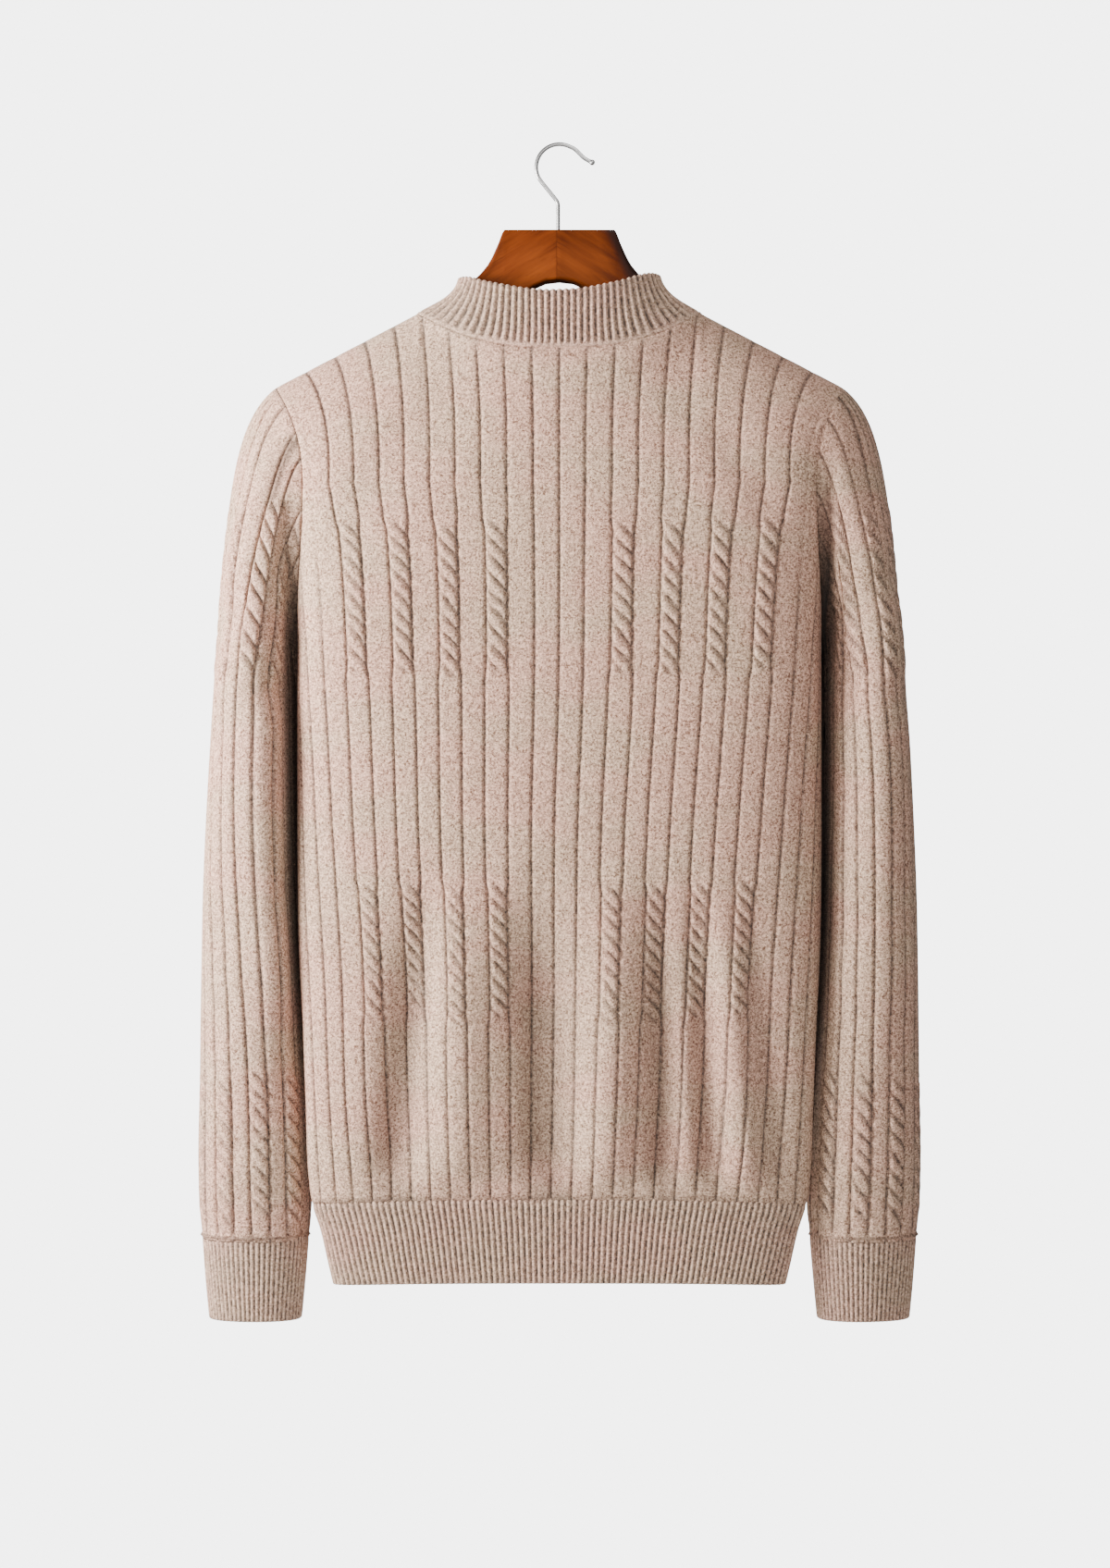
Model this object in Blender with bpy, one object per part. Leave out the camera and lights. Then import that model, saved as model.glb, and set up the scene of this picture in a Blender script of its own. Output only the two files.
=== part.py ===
"""Mock neck sweater hung on a wooden hanger with a wire hook.

Metres, Z up. The origin is the inner top of the hook's bend, where a rail carries it. The
shown side of the sweater faces -Y. Each piece of cloth is a wall: its outer skin follows the
garment's form, worked out from the sizes below, and its inner skin lies one wall inside it.
"""

import math

import bpy
import numpy as np

# Cloth walls, the gap that neighbouring pieces keep, and the share of it that each draws back
PANEL_WALL = 0.0026
BAND_WALL = 0.0032
COLLAR_WALL = 0.0036
SEAM_GAP = 0.0003
SEAM_SHARE = 0.7

# Front and back: half a section of the body at each height, from the hem up to the yoke
BODY_COLUMNS = (
    "height", "half_width", "front_depth", "back_depth", "seam_y", "side_sag",
    "front_squareness", "back_squareness",
)
BODY_LEVELS = (
    (-0.8265, 0.1645, 0.0300, 0.0310, -0.004, 0.0035, 3.4, 2.8),
    (-0.8110, 0.1680, 0.0315, 0.0325, -0.004, 0.0040, 3.4, 2.8),
    (-0.7840, 0.1738, 0.0345, 0.0350, -0.005, 0.0055, 3.4, 2.8),
    (-0.7650, 0.1795, 0.0372, 0.0380, -0.007, 0.0060, 3.4, 2.8),
    (-0.7450, 0.1820, 0.0390, 0.0400, -0.010, 0.0045, 3.4, 2.8),
    (-0.7000, 0.1838, 0.0415, 0.0420, -0.012, 0.0000, 3.4, 2.8),
    (-0.6500, 0.1857, 0.0440, 0.0440, -0.012, 0.0000, 3.4, 2.8),
    (-0.5800, 0.1890, 0.0470, 0.0480, -0.012, 0.0000, 3.4, 2.8),
    (-0.5200, 0.1898, 0.0520, 0.0520, -0.012, 0.0000, 3.4, 2.8),
    (-0.4600, 0.1898, 0.0575, 0.0570, -0.012, 0.0000, 3.5, 2.9),
    (-0.4000, 0.1895, 0.0620, 0.0610, -0.010, 0.0000, 4.2, 3.5),
    (-0.3600, 0.1893, 0.0635, 0.0625, -0.006, 0.0000, 4.8, 4.4),
    (-0.3000, 0.1905, 0.0635, 0.0630, -0.006, 0.0000, 4.8, 4.4),
    (-0.2500, 0.1938, 0.0605, 0.0600, -0.006, 0.0000, 4.8, 4.4),
)
HEM_BOTTOM = -0.8265
HEM_TOP = -0.7650

# Armhole: from the underarm round to the yoke's height, then on to the shoulder point
UNDERARM_HEIGHT = -0.3600
YOKE_HEIGHT = -0.2500
ARMHOLE_FRONT_Y = -0.0455
ARMHOLE_BACK_Y = 0.0480
SHOULDER_POINT = (0.2065, 0.0, -0.1763)
YOKE_RISE_HANDLE = 0.046
RIDGE_HANDLE = 0.030
NECK_HANDLE = 0.030

# Neckline where the collar is linked on, and the collar's top edge
NECK_HALF_WIDTH = 0.1045
NECK_POINT_HEIGHT = -0.1229
NECK_FRONT = (-0.0466, -0.1525)
NECK_BACK = (0.0460, -0.1420)
NECK_ROUNDNESS = 2.3
NECK_SWEEP = 2.5
NECK_SHARE = 0.522
COLLAR_TOP_HALF_WIDTH = 0.0740
COLLAR_TOP_SIDE_HEIGHT = -0.0945
COLLAR_TOP_FRONT = (-0.0440, -0.1115)
COLLAR_TOP_BACK = (0.0440, -0.1010)
COLLAR_FLARE = 0.0135
COLLAR_HANDLE = 0.013

# Sleeves: outer and inner reach, centre and half depth at each height, below the cap
SLEEVE_COLUMNS = ("height", "outer_x", "inner_x", "centre_y", "half_depth")
SLEEVE_LEVELS = (
    (-0.8570, 0.2567, 0.1892, 0.014, 0.0260),
    (-0.8272, 0.2594, 0.1864, 0.014, 0.0295),
    (-0.7955, 0.2617, 0.1838, 0.014, 0.0340),
    (-0.7729, 0.2638, 0.1818, 0.015, 0.0380),
    (-0.7457, 0.2645, 0.1820, 0.015, 0.0400),
    (-0.6778, 0.2632, 0.1846, 0.015, 0.0440),
    (-0.6099, 0.2621, 0.1872, 0.014, 0.0480),
    (-0.5420, 0.2604, 0.1892, 0.013, 0.0520),
    (-0.4877, 0.2577, 0.1900, 0.012, 0.0560),
    (-0.4333, 0.2543, 0.1905, 0.011, 0.0600),
    (-0.4000, 0.2520, 0.1905, 0.010, 0.0620),
)
CUFF_BOTTOM = -0.8570
CUFF_TOP = -0.7955
CAP_FOOT = -0.4000
SLEEVE_ROUNDNESS = 2.15
SLEEVE_TURN = {"left": math.radians(4), "right": math.radians(10)}
CAP_SLOPE_TOP = math.radians(37)
CAP_SLOPE_UNDERARM = math.radians(56)
CAP_START_HANDLE = (0.045, 0.014)
CAP_END_HANDLE = (0.130, 0.015)

# Wooden hanger: half of it, from the middle out to one tip
HANGER_COLUMNS = ("x", "top", "bottom", "half_thickness", "squareness")
ARM_REST = 0.0040
ARM_SLOPE = (SHOULDER_POINT[2] - NECK_POINT_HEIGHT) / (SHOULDER_POINT[0] - NECK_HALF_WIDTH)
HANGER_TOP = -0.0623
HANGER_BLOCK = (
    (0.0000, HANGER_TOP, -0.0986, 0.0110, 7.0),
    (0.0100, HANGER_TOP, -0.0998, 0.0110, 7.0),
    (0.0190, HANGER_TOP, -0.1038, 0.0110, 7.0),
    (0.0300, HANGER_TOP, -0.1110, 0.0110, 7.0),
    (0.0403, HANGER_TOP, -0.1168, 0.0110, 7.0),
    (0.0411, -0.0636, -0.1172, 0.0110, 7.0),
    (0.0424, -0.0663, -0.1180, 0.0110, 6.0),
    (0.0444, -0.0717, -0.1192, 0.0110, 6.0),
    (0.0468, -0.0771, -0.1206, 0.0110, 5.5),
    (0.0493, -0.0825, -0.1220, 0.0111, 5.0),
    (0.0525, -0.0880, -0.1238, 0.0112, 4.5),
    (0.0575, -0.0940, -0.1266, 0.0113, 4.0),
    (0.0670, -0.1030, -0.1320, 0.0115, 3.5),
    (0.0800, -0.1125, -0.1392, 0.0118, 3.0),
    (0.0940, -0.1222, -0.1465, 0.0117, 2.6),
)
HANGER_ARM = (
    (0.1120, -0.1558, 0.0117),
    (0.1300, -0.1650, 0.0120),
    (0.1500, -0.1750, 0.0122),
    (0.1680, -0.1832, 0.0126),
    (0.1820, -0.1880, 0.0122),
)
ARM_TIPS = ((0.1870, -0.1740, -0.1875, 0.0105, 2.2), (0.1900, -0.1785, -0.1855, 0.0060, 2.0))
ARM_SQUARENESS = 2.0
HANGER_SIDES = 16

# Wire hook
WIRE_RADIUS = 0.0015
WIRE_SIDES = 10
HOOK_RADIUS = 0.0170
STEM_X = -0.0010
STEM_TOP = -0.0412
STEM_SUNK = 0.0200
BALL_RADIUS = 0.0020
HOOK_TIP = ((0.0115, -0.0019), (0.0167, -0.0077), (0.0190, -0.0094), (0.0226, -0.0112))

WOOL = (0.46, 0.36, 0.30)
RIB_WOOL = (0.43, 0.33, 0.28)
WOOD = (0.30, 0.10, 0.03)
STEEL = (0.62, 0.62, 0.61)


def looked_up(rows, columns, name, at):
    """The smooth curve through one named column of a table, by its first column."""
    table = np.array(rows, float)
    place = table[:, 0]
    value = table[:, columns.index(name)]
    slope = np.gradient(value, place)
    at = np.clip(at, place[0], place[-1])
    i = np.clip(np.searchsorted(place, at) - 1, 0, len(place) - 2)
    span = place[i + 1] - place[i]
    t = (at - place[i]) / span
    start = (1 + 2 * t) * (1 - t) ** 2 * value[i] + t * (1 - t) ** 2 * span * slope[i]
    end = t * t * (3 - 2 * t) * value[i + 1] + t * t * (t - 1) * span * slope[i + 1]
    return start + end


def bezier(first, second, third, last, t):
    """Points at t on a cubic curve between first and last."""
    return (
        (1 - t) ** 3 * first
        + 3 * (1 - t) ** 2 * t * second
        + 3 * (1 - t) * t * t * third
        + t**3 * last
    )


def quarter_section(half_width, depth, squareness, shares, short_of=0.0):
    """(x, depth from the middle) at shares of a quarter superellipse, cut short of its side."""
    turn = np.linspace(0, 1, 241)
    turn = (turn * turn * (3 - 2 * turn)) * math.pi / 2
    x = half_width * np.sin(turn) ** (2 / squareness)
    y = depth * (1 - np.cos(turn) ** (2 / squareness))
    run = np.concatenate([[0], np.cumsum(np.hypot(np.diff(x), np.diff(y)))])
    at = np.asarray(shares) * np.interp(depth - short_of, y, run)
    return np.interp(at, run, x), np.interp(at, run, y)


def armhole_reach(front, height):
    """How far the armhole's edge lies in front of the side seam's line, or behind it."""
    rise = np.clip((height - UNDERARM_HEIGHT) / (YOKE_HEIGHT - UNDERARM_HEIGHT), 0, 1)
    side_y = looked_up(BODY_LEVELS, BODY_COLUMNS, "seam_y", YOKE_HEIGHT)
    edge_y = ARMHOLE_FRONT_Y if front else ARMHOLE_BACK_Y
    return abs(edge_y - side_y) * math.sqrt(1 - (1 - rise) ** 2)


def body_row(front, height, shares):
    """Points of the front or back at a height, at signed shares of the way to its edges."""
    half_width = looked_up(BODY_LEVELS, BODY_COLUMNS, "half_width", height)
    side_y = looked_up(BODY_LEVELS, BODY_COLUMNS, "seam_y", height)
    sag = looked_up(BODY_LEVELS, BODY_COLUMNS, "side_sag", height)
    side = "front" if front else "back"
    middle = looked_up(BODY_LEVELS, BODY_COLUMNS, f"{side}_depth", height)
    squareness = looked_up(BODY_LEVELS, BODY_COLUMNS, f"{side}_squareness", height)
    shares = np.asarray(shares, float)
    depth = middle + side_y if front else middle - side_y
    reach = armhole_reach(front, height)
    x, y = quarter_section(half_width, depth, squareness, np.abs(shares), reach)
    y = y - middle if front else middle - y
    z = height - sag * np.abs(shares) ** 3
    return np.stack([x * np.sign(shares), y, z], axis=-1)


def neckline(front, across):
    """Points of the line that the collar is linked to, at x from the middle."""
    side = np.clip(np.abs(across) / NECK_HALF_WIDTH, 0, 1)
    y_middle, z_middle = NECK_FRONT if front else NECK_BACK
    y = y_middle * np.clip(1 - side**NECK_ROUNDNESS, 0, 1) ** (1 / NECK_ROUNDNESS)
    z = z_middle + (NECK_POINT_HEIGHT - z_middle) * side**NECK_SWEEP
    return np.stack([across, y, z], axis=-1)


def top_edge(front, shares):
    """Points of the neckline and the shoulder seams, by shares of the way to the edges."""
    share = np.abs(shares)
    beyond = np.clip((share - NECK_SHARE) / (1 - NECK_SHARE), 0, 1)
    across = NECK_HALF_WIDTH * np.clip(share / NECK_SHARE, 0, 1)
    across = across + (SHOULDER_POINT[0] - NECK_HALF_WIDTH) * beyond
    points = neckline(front, np.minimum(across, NECK_HALF_WIDTH))
    points[:, 0] = across * np.sign(shares)
    points[:, 2] += (SHOULDER_POINT[2] - NECK_POINT_HEIGHT) * beyond
    return points


def yoke_row(front, rise, shares):
    """Points of the front or back above the yoke's height, rise 0 to 1 up to its top edge."""
    shares = np.asarray(shares, float)
    start = body_row(front, YOKE_HEIGHT, shares)
    below = body_row(front, YOKE_HEIGHT - 0.01, shares)
    end = top_edge(front, shares)
    toward = -1 if front else 1
    neck_y = abs(NECK_FRONT[0] if front else NECK_BACK[0])
    reach = np.abs(end[:, 1])
    across = np.clip(reach / neck_y, 0, 1)
    neck = across**2 * (3 - 2 * across)
    arriving = end.copy()
    arriving[:, 1] = toward * (RIDGE_HANDLE + (reach + 0.16 * NECK_HANDLE - RIDGE_HANDLE) * neck)
    arriving[:, 2] -= NECK_HANDLE * neck + 0.12 * RIDGE_HANDLE * (1 - neck)
    leaving = start + (start - below) / 0.01 * YOKE_RISE_HANDLE
    return bezier(start, leaving, arriving, end, rise)


def armhole(rows_below, rises):
    """The right armhole's points from the shoulder point by the front to the underarm."""
    loops = {}
    for front in (True, False):
        edge = [body_row(front, height, [1.0])[0] for height in rows_below]
        edge += [yoke_row(front, rise, [1.0])[0] for rise in rises]
        loops[front] = np.array(edge[::-1])
    return loops


def sleeve_ring(height, angles, turn):
    """Points round the right sleeve at a height; angle 0 is outside and a quarter is front."""
    outer = looked_up(SLEEVE_LEVELS, SLEEVE_COLUMNS, "outer_x", height)
    inner = looked_up(SLEEVE_LEVELS, SLEEVE_COLUMNS, "inner_x", height)
    centre_y = looked_up(SLEEVE_LEVELS, SLEEVE_COLUMNS, "centre_y", height)
    deep = looked_up(SLEEVE_LEVELS, SLEEVE_COLUMNS, "half_depth", height)
    reach = (outer - inner) / 2
    wide = math.sqrt(reach**2 - (deep * math.sin(turn)) ** 2) / math.cos(turn)
    cos, sin = np.cos(angles), np.sin(angles)
    power = 2 / SLEEVE_ROUNDNESS
    x = wide * np.sign(cos) * np.abs(cos) ** power
    y = -deep * np.sign(sin) * np.abs(sin) ** power
    turned_x = x * math.cos(turn) - y * math.sin(turn)
    turned_y = x * math.sin(turn) + y * math.cos(turn)
    z = np.full(len(cos), height)
    return np.stack([(outer + inner) / 2 + turned_x, centre_y + turned_y, z], axis=-1)


def cap_shares(loop):
    """Each loop point's share of the way from the shoulder point to the underarm."""
    run = np.concatenate([[0], np.cumsum(np.linalg.norm(np.diff(loop, axis=0), axis=1))])
    return run / run[-1]


def cap_ring(loop, angles, drop, turn):
    """Points of the sleeve cap, drop 0 at the armhole to 1 at its foot."""
    foot = sleeve_ring(CAP_FOOT, angles, turn)
    below = sleeve_ring(CAP_FOOT - 0.01, angles, turn)
    down = np.minimum(angles, 2 * math.pi - angles)[:, None] / math.pi
    slope = CAP_SLOPE_TOP + (CAP_SLOPE_UNDERARM - CAP_SLOPE_TOP) * down**1.2
    away = np.concatenate([np.cos(slope), 0 * slope, -np.sin(slope)], axis=1)
    start_handle = CAP_START_HANDLE[0] + (CAP_START_HANDLE[1] - CAP_START_HANDLE[0]) * down
    end_handle = CAP_END_HANDLE[0] + (CAP_END_HANDLE[1] - CAP_END_HANDLE[0]) * down
    leaving = loop + away * start_handle
    arriving = foot + (foot - below) / 0.01 * end_handle
    return bezier(loop, leaving, arriving, foot, drop)


def collar_ring(base, rise):
    """Points of the collar, rise 0 at the neckline to 1 at its top edge."""
    side = np.abs(base[:, 0]) / NECK_HALF_WIDTH
    front = base[:, 1] <= 0
    y_base = np.where(front, NECK_FRONT[0], NECK_BACK[0])
    y_top = np.where(front, COLLAR_TOP_FRONT[0], COLLAR_TOP_BACK[0])
    z_top = np.where(front, COLLAR_TOP_FRONT[1], COLLAR_TOP_BACK[1])
    top = np.stack(
        [
            base[:, 0] / NECK_HALF_WIDTH * COLLAR_TOP_HALF_WIDTH,
            base[:, 1] / y_base * y_top,
            z_top + (COLLAR_TOP_SIDE_HEIGHT - z_top) * side**2.0,
        ],
        axis=-1,
    )
    flare = np.sign(base[:, 0]) * side**2
    up = np.full(len(base), COLLAR_HANDLE)
    level = np.zeros(len(base))
    leaving = base + np.stack([-COLLAR_FLARE * flare, level, up - 0.005 * side**2], axis=-1)
    arriving = top + np.stack([0.0035 * flare, level, -up], axis=-1)
    return bezier(base, leaving, arriving, top, rise)


class Piece:
    """One piece of cloth: rows of outer points, facing out when rows rise."""

    def __init__(self, name, rows, closed, wall, group, crown=0.0):
        self.name = name
        self.group = group
        self.outer = np.array(rows, float)
        self.closed = closed
        self.wall = wall
        self.crown = crown
        self.normal = self.normals()
        self.inward = self.edge_directions()

    def normals(self):
        """The outward normal at each point, from its neighbours."""
        p = self.outer
        if self.closed:
            along = np.roll(p, -1, axis=1) - np.roll(p, 1, axis=1)
        else:
            along = np.gradient(p, axis=1)
        up = np.gradient(p, axis=0)
        cross = np.cross(along, up)
        return cross / np.maximum(np.linalg.norm(cross, axis=2, keepdims=True), 1e-12)

    def edge_directions(self):
        """Unit directions from each edge point into the piece, zero inside it."""
        p = self.outer
        way = np.zeros_like(p)
        way[0] += unit(p[1] - p[0])
        way[-1] += unit(p[-2] - p[-1])
        if not self.closed:
            way[:, 0] += unit(p[:, 1] - p[:, 0])
            way[:, -1] += unit(p[:, -2] - p[:, -1])
        return way

    def edge_mask(self):
        """Which points lie on an edge."""
        mask = np.zeros(self.outer.shape[:2], bool)
        mask[[0, -1]] = True
        if not self.closed:
            mask[:, [0, -1]] = True
        return mask


def unit(vectors):
    return vectors / np.maximum(np.linalg.norm(vectors, axis=-1, keepdims=True), 1e-12)


def seam_key(point):
    """A point's rounded position, the same for each piece that shares it."""
    return tuple(np.round(point * 1e5).astype(int))


def shared_seams(pieces):
    """By position, each piece's (group, normal, way in, wall) at the points on its edges."""
    seams = {}
    for piece in pieces:
        mask = piece.edge_mask()
        rows = zip(piece.outer[mask], piece.normal[mask], unit(piece.inward[mask]))
        for point, normal, inward in rows:
            entry = (piece.group, normal, inward, piece.wall)
            seams.setdefault(seam_key(point), []).append(entry)
    return seams


def seam_mitre(entries):
    """The direction through the walls at a seam: each group of pieces counts once."""
    total = np.zeros(3)
    for group in {entry[0] for entry in entries}:
        members = [entry for entry in entries if entry[0] == group]
        total += unit(np.sum([entry[1] for entry in members], axis=0))
        total += np.mean([entry[2] for entry in members], axis=0)
    return -unit(total)


def wall_skins(piece, seams):
    """(outer, inner) skins, the edges drawn away from their neighbours by half a gap."""
    outer = piece.outer.copy()
    inner = outer - piece.normal * piece.wall
    for i, j in zip(*np.nonzero(piece.edge_mask())):
        entries = seams[seam_key(outer[i, j])]
        way_in = unit(piece.inward[i, j])
        if len(entries) > 1:
            inner[i, j] = outer[i, j] + seam_mitre(entries) * min(entry[3] for entry in entries)
            way_in = unit(way_in - np.mean([entry[2] for entry in entries], axis=0))
        length = np.linalg.norm(piece.inward[i, j])
        outer[i, j] += way_in * length * SEAM_GAP * SEAM_SHARE
        inner[i, j] += way_in * length * SEAM_GAP * SEAM_SHARE
    return outer, inner


def wall_faces(rows, count, closed, start):
    """Quads of a skin whose rows hold count points, and its four edges in order."""
    faces = []
    for i in range(rows - 1):
        for j in range(count if closed else count - 1):
            k = (j + 1) % count
            a, b = start + i * count + j, start + i * count + k
            faces.append((a, b, b + count, a + count))
    return faces


def wall_mesh(piece, outer, inner):
    """Vertices and faces of a closed wall between two skins."""
    rows, count = outer.shape[:2]
    vertices = [*outer.reshape(-1, 3), *inner.reshape(-1, 3)]
    far = rows * count
    faces = wall_faces(rows, count, piece.closed, 0)
    faces += [face[::-1] for face in wall_faces(rows, count, piece.closed, far)]
    steps = range(count if piece.closed else count - 1)
    for j in steps:
        k = (j + 1) % count
        faces.append((k, j, far + j, far + k))
    last = (rows - 1) * count
    if piece.crown:
        crown = (outer[-1] + inner[-1]) / 2 + np.array([0, 0, piece.crown])
        base = len(vertices)
        vertices += [*crown]
        for j in steps:
            k = (j + 1) % count
            faces.append((last + j, last + k, base + k, base + j))
            faces.append((base + j, base + k, far + last + k, far + last + j))
    else:
        for j in steps:
            k = (j + 1) % count
            faces.append((last + k, far + last + k, far + last + j, last + j))
    if not piece.closed:
        for i in range(rows - 1):
            a, b = i * count, (i + 1) * count
            faces.append((a, b, far + b, far + a))
            faces.append((b + count - 1, a + count - 1, far + a + count - 1, far + b + count - 1))
    return vertices, faces


def finish_material(name, colour, roughness, metallic=0.0):
    """A plain Principled material."""
    material = bpy.data.materials.new(name)
    material.use_nodes = True
    shader = material.node_tree.nodes["Principled BSDF"]
    shader.inputs["Base Color"].default_value = (*colour, 1)
    shader.inputs["Roughness"].default_value = roughness
    shader.inputs["Metallic"].default_value = metallic
    return material


def add_object(name, vertices, faces, colour, roughness, metallic=0.0):
    """An object of its own mesh and material, at the origin."""
    mesh = bpy.data.meshes.new(name)
    mesh.from_pydata([tuple(map(float, v)) for v in vertices], [], faces)
    mesh.validate()
    mesh.materials.append(finish_material(name, colour, roughness, metallic))
    made = bpy.data.objects.new(name, mesh)
    bpy.context.scene.collection.objects.link(made)
    return made


def panel_shares():
    """Shares across a panel, with one at each neck point and closer ones round the side."""
    neck = NECK_SHARE * np.sin(np.linspace(0, math.pi / 2, 8)[1:])
    side = NECK_SHARE + (1 - NECK_SHARE) * np.array([0.22, 0.42, 0.58, 0.71, 0.82, 0.92, 1.0])
    half = np.concatenate([neck, side])
    return np.concatenate([-half[::-1], [0.0], half]), len(neck)


def garment_pieces():
    """Every piece of cloth, sharing its edge points with its neighbours."""
    shares, neck_count = panel_shares()
    lower = list(np.linspace(HEM_TOP, UNDERARM_HEIGHT, 9)[:-1])
    swings = np.radians([0, 20, 40, 58, 74, 90])
    drop = YOKE_HEIGHT - UNDERARM_HEIGHT
    arm_heights = [UNDERARM_HEIGHT + drop * (1 - math.cos(a)) for a in swings]
    rises = (0.30, 0.58, 0.80, 0.93, 1.0)
    pieces = []
    tops = {}
    for front, name in ((True, "front"), (False, "back")):
        rows = [body_row(front, h, shares) for h in lower + arm_heights]
        rows += [yoke_row(front, r, shares) for r in rises]
        tops[front] = rows[-1]
        order = rows if front else [row[::-1] for row in rows]
        pieces.append(Piece(name, order, False, PANEL_WALL, "body"))
        band = [body_row(front, h, shares) for h in (HEM_BOTTOM, -0.7840, HEM_TOP)]
        order = band if front else [row[::-1] for row in band]
        pieces.append(Piece(f"hem_rib_{name}", order, False, BAND_WALL, "hem"))
    middle = len(shares) // 2
    neck = slice(middle - neck_count, middle + neck_count + 1)
    base = np.concatenate([tops[True][neck], tops[False][neck][::-1][1:-1]])
    rings = [collar_ring(base, r) for r in (0.0, 0.3, 0.65, 1.0)]
    pieces.append(Piece("collar", rings, True, COLLAR_WALL, "collar", crown=0.0012))
    loops = armhole(arm_heights, rises)
    for side in ("left", "right"):
        pieces += sleeve_pieces(loops, side)
    return pieces


def sleeve_pieces(loops, side):
    """A sleeve and its cuff."""
    turn = SLEEVE_TURN[side]
    ahead, behind = cap_shares(loops[True]), cap_shares(loops[False])
    angles = np.concatenate([ahead * math.pi, (2 - behind[::-1][1:-1]) * math.pi])
    loop = np.concatenate([loops[True], loops[False][::-1][1:-1]])
    heights = np.linspace(CUFF_TOP, CAP_FOOT, 10)
    rows = [sleeve_ring(h, angles, turn) for h in heights]
    rows += [cap_ring(loop, angles, d, turn) for d in (0.82, 0.62, 0.42, 0.24, 0.10, 0.0)]
    cuff = [sleeve_ring(h, angles, turn) for h in np.linspace(CUFF_BOTTOM, CUFF_TOP, 3)]
    made = []
    for name, rings, wall in ((f"sleeve_{side}", rows, PANEL_WALL), (f"cuff_{side}", cuff, BAND_WALL)):
        rings = np.array(rings)
        if side == "left":
            rings = rings * np.array([-1, 1, 1])
        else:
            rings = rings[:, ::-1]
        made.append(Piece(name, rings, True, wall, name))
    return made


def arm_top(x):
    """The height of the hanger's arm, just under the shoulder's cloth."""
    return NECK_POINT_HEIGHT + ARM_SLOPE * (x - NECK_HALF_WIDTH) - ARM_REST


def hanger_stations():
    """(x, top, bottom, half thickness, squareness) from the middle to the tip."""
    arm = [(x, arm_top(x), bottom, thick, ARM_SQUARENESS) for x, bottom, thick in HANGER_ARM]
    return [*HANGER_BLOCK, *arm, *ARM_TIPS]


def hanger_section(x, top, bottom, half_thickness, squareness):
    """One section of the hanger, round in the order that faces out along +X."""
    angles = (np.arange(HANGER_SIDES) + 0.5) / HANGER_SIDES * 2 * math.pi
    cos, sin = np.cos(angles), np.sin(angles)
    y = half_thickness * np.sign(cos) * np.abs(cos) ** (2 / squareness)
    z = (top + bottom) / 2 + (top - bottom) / 2 * np.sign(sin) * np.abs(sin) ** (2 / squareness)
    return np.stack([np.full(HANGER_SIDES, x), y, z], axis=-1)


def lofted(sections):
    """Vertices and faces of a closed loft with flat ends; sections run along +X."""
    count = len(sections[0])
    vertices = [point for section in sections for point in section]
    faces = []
    for i in range(len(sections) - 1):
        for j in range(count):
            k = (j + 1) % count
            a, b = i * count + j, i * count + k
            faces.append((a, b, b + count, a + count))
    faces.append(tuple(range(count))[::-1])
    faces.append(tuple(range(len(vertices) - count, len(vertices))))
    return vertices, faces


def add_hanger():
    """The hanger, with a hole for the hook's stem."""
    half = hanger_stations()
    stations = [(-row[0], *row[1:]) for row in half[:0:-1]] + half
    vertices, faces = lofted([hanger_section(*row) for row in stations])
    hanger = add_object("hanger", vertices, faces, WOOD, 0.35)
    bpy.ops.mesh.primitive_cylinder_add(
        vertices=WIRE_SIDES * 2,
        radius=WIRE_RADIUS + SEAM_GAP + 0.0001,
        depth=2 * (STEM_SUNK + SEAM_GAP),
        location=(STEM_X, 0, HANGER_TOP),
    )
    hole = bpy.context.active_object
    hole.name = "stem_hole"
    hole.hide_render = True
    cut = hanger.modifiers.new("stem_hole", "BOOLEAN")
    cut.operation = "DIFFERENCE"
    cut.solver = "EXACT"
    cut.object = hole
    return hanger


def hook_path():
    """Points of the hook's centre line from the stem's foot to the tip, and its radii."""
    centre_z = WIRE_RADIUS - HOOK_RADIUS
    stem = [(STEM_X, HANGER_TOP - STEM_SUNK), (STEM_X, STEM_TOP - 0.004), (STEM_X, STEM_TOP)]
    slant = [(STEM_X - 0.0020, STEM_TOP + 0.0028), (-0.0138, -0.0253)]
    arc = [
        (HOOK_RADIUS * math.cos(a), centre_z + HOOK_RADIUS * math.sin(a))
        for a in np.radians(np.linspace(205, 60, 15))
    ]
    path = np.array(stem + slant + arc + [tuple(p) for p in HOOK_TIP])
    radii = np.full(len(path), WIRE_RADIUS)
    return path, radii


def add_hook():
    """The wire hook with a small ball on its tip."""
    path, radii = hook_path()
    way = unit(path[-1] - path[-2])
    ball = [(0.0010, 0.0017), (0.0017, BALL_RADIUS), (0.0029, BALL_RADIUS), (0.0037, 0.0013)]
    path = np.concatenate([path, [path[-1] + way * run for run, _ in ball]])
    radii = np.concatenate([radii, [radius for _, radius in ball]])
    tangent = unit(np.gradient(path, axis=0))
    side = np.stack([tangent[:, 1], -tangent[:, 0]], axis=-1)
    angles = np.arange(WIRE_SIDES) / WIRE_SIDES * 2 * math.pi
    vertices = []
    for point, across, radius in zip(path, side, radii):
        for angle in angles:
            out = across * radius * math.cos(angle)
            vertices.append((point[0] + out[0], radius * math.sin(angle), point[1] + out[1]))
    faces = []
    count = WIRE_SIDES
    for i in range(len(path) - 1):
        for j in range(count):
            k = (j + 1) % count
            a, b = i * count + j, i * count + k
            faces.append((a, b, b + count, a + count))
    faces.append(tuple(range(count))[::-1])
    faces.append(tuple(range(len(vertices) - count, len(vertices))))
    return add_object("hook", vertices, faces, STEEL, 0.25, 1.0)


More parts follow.
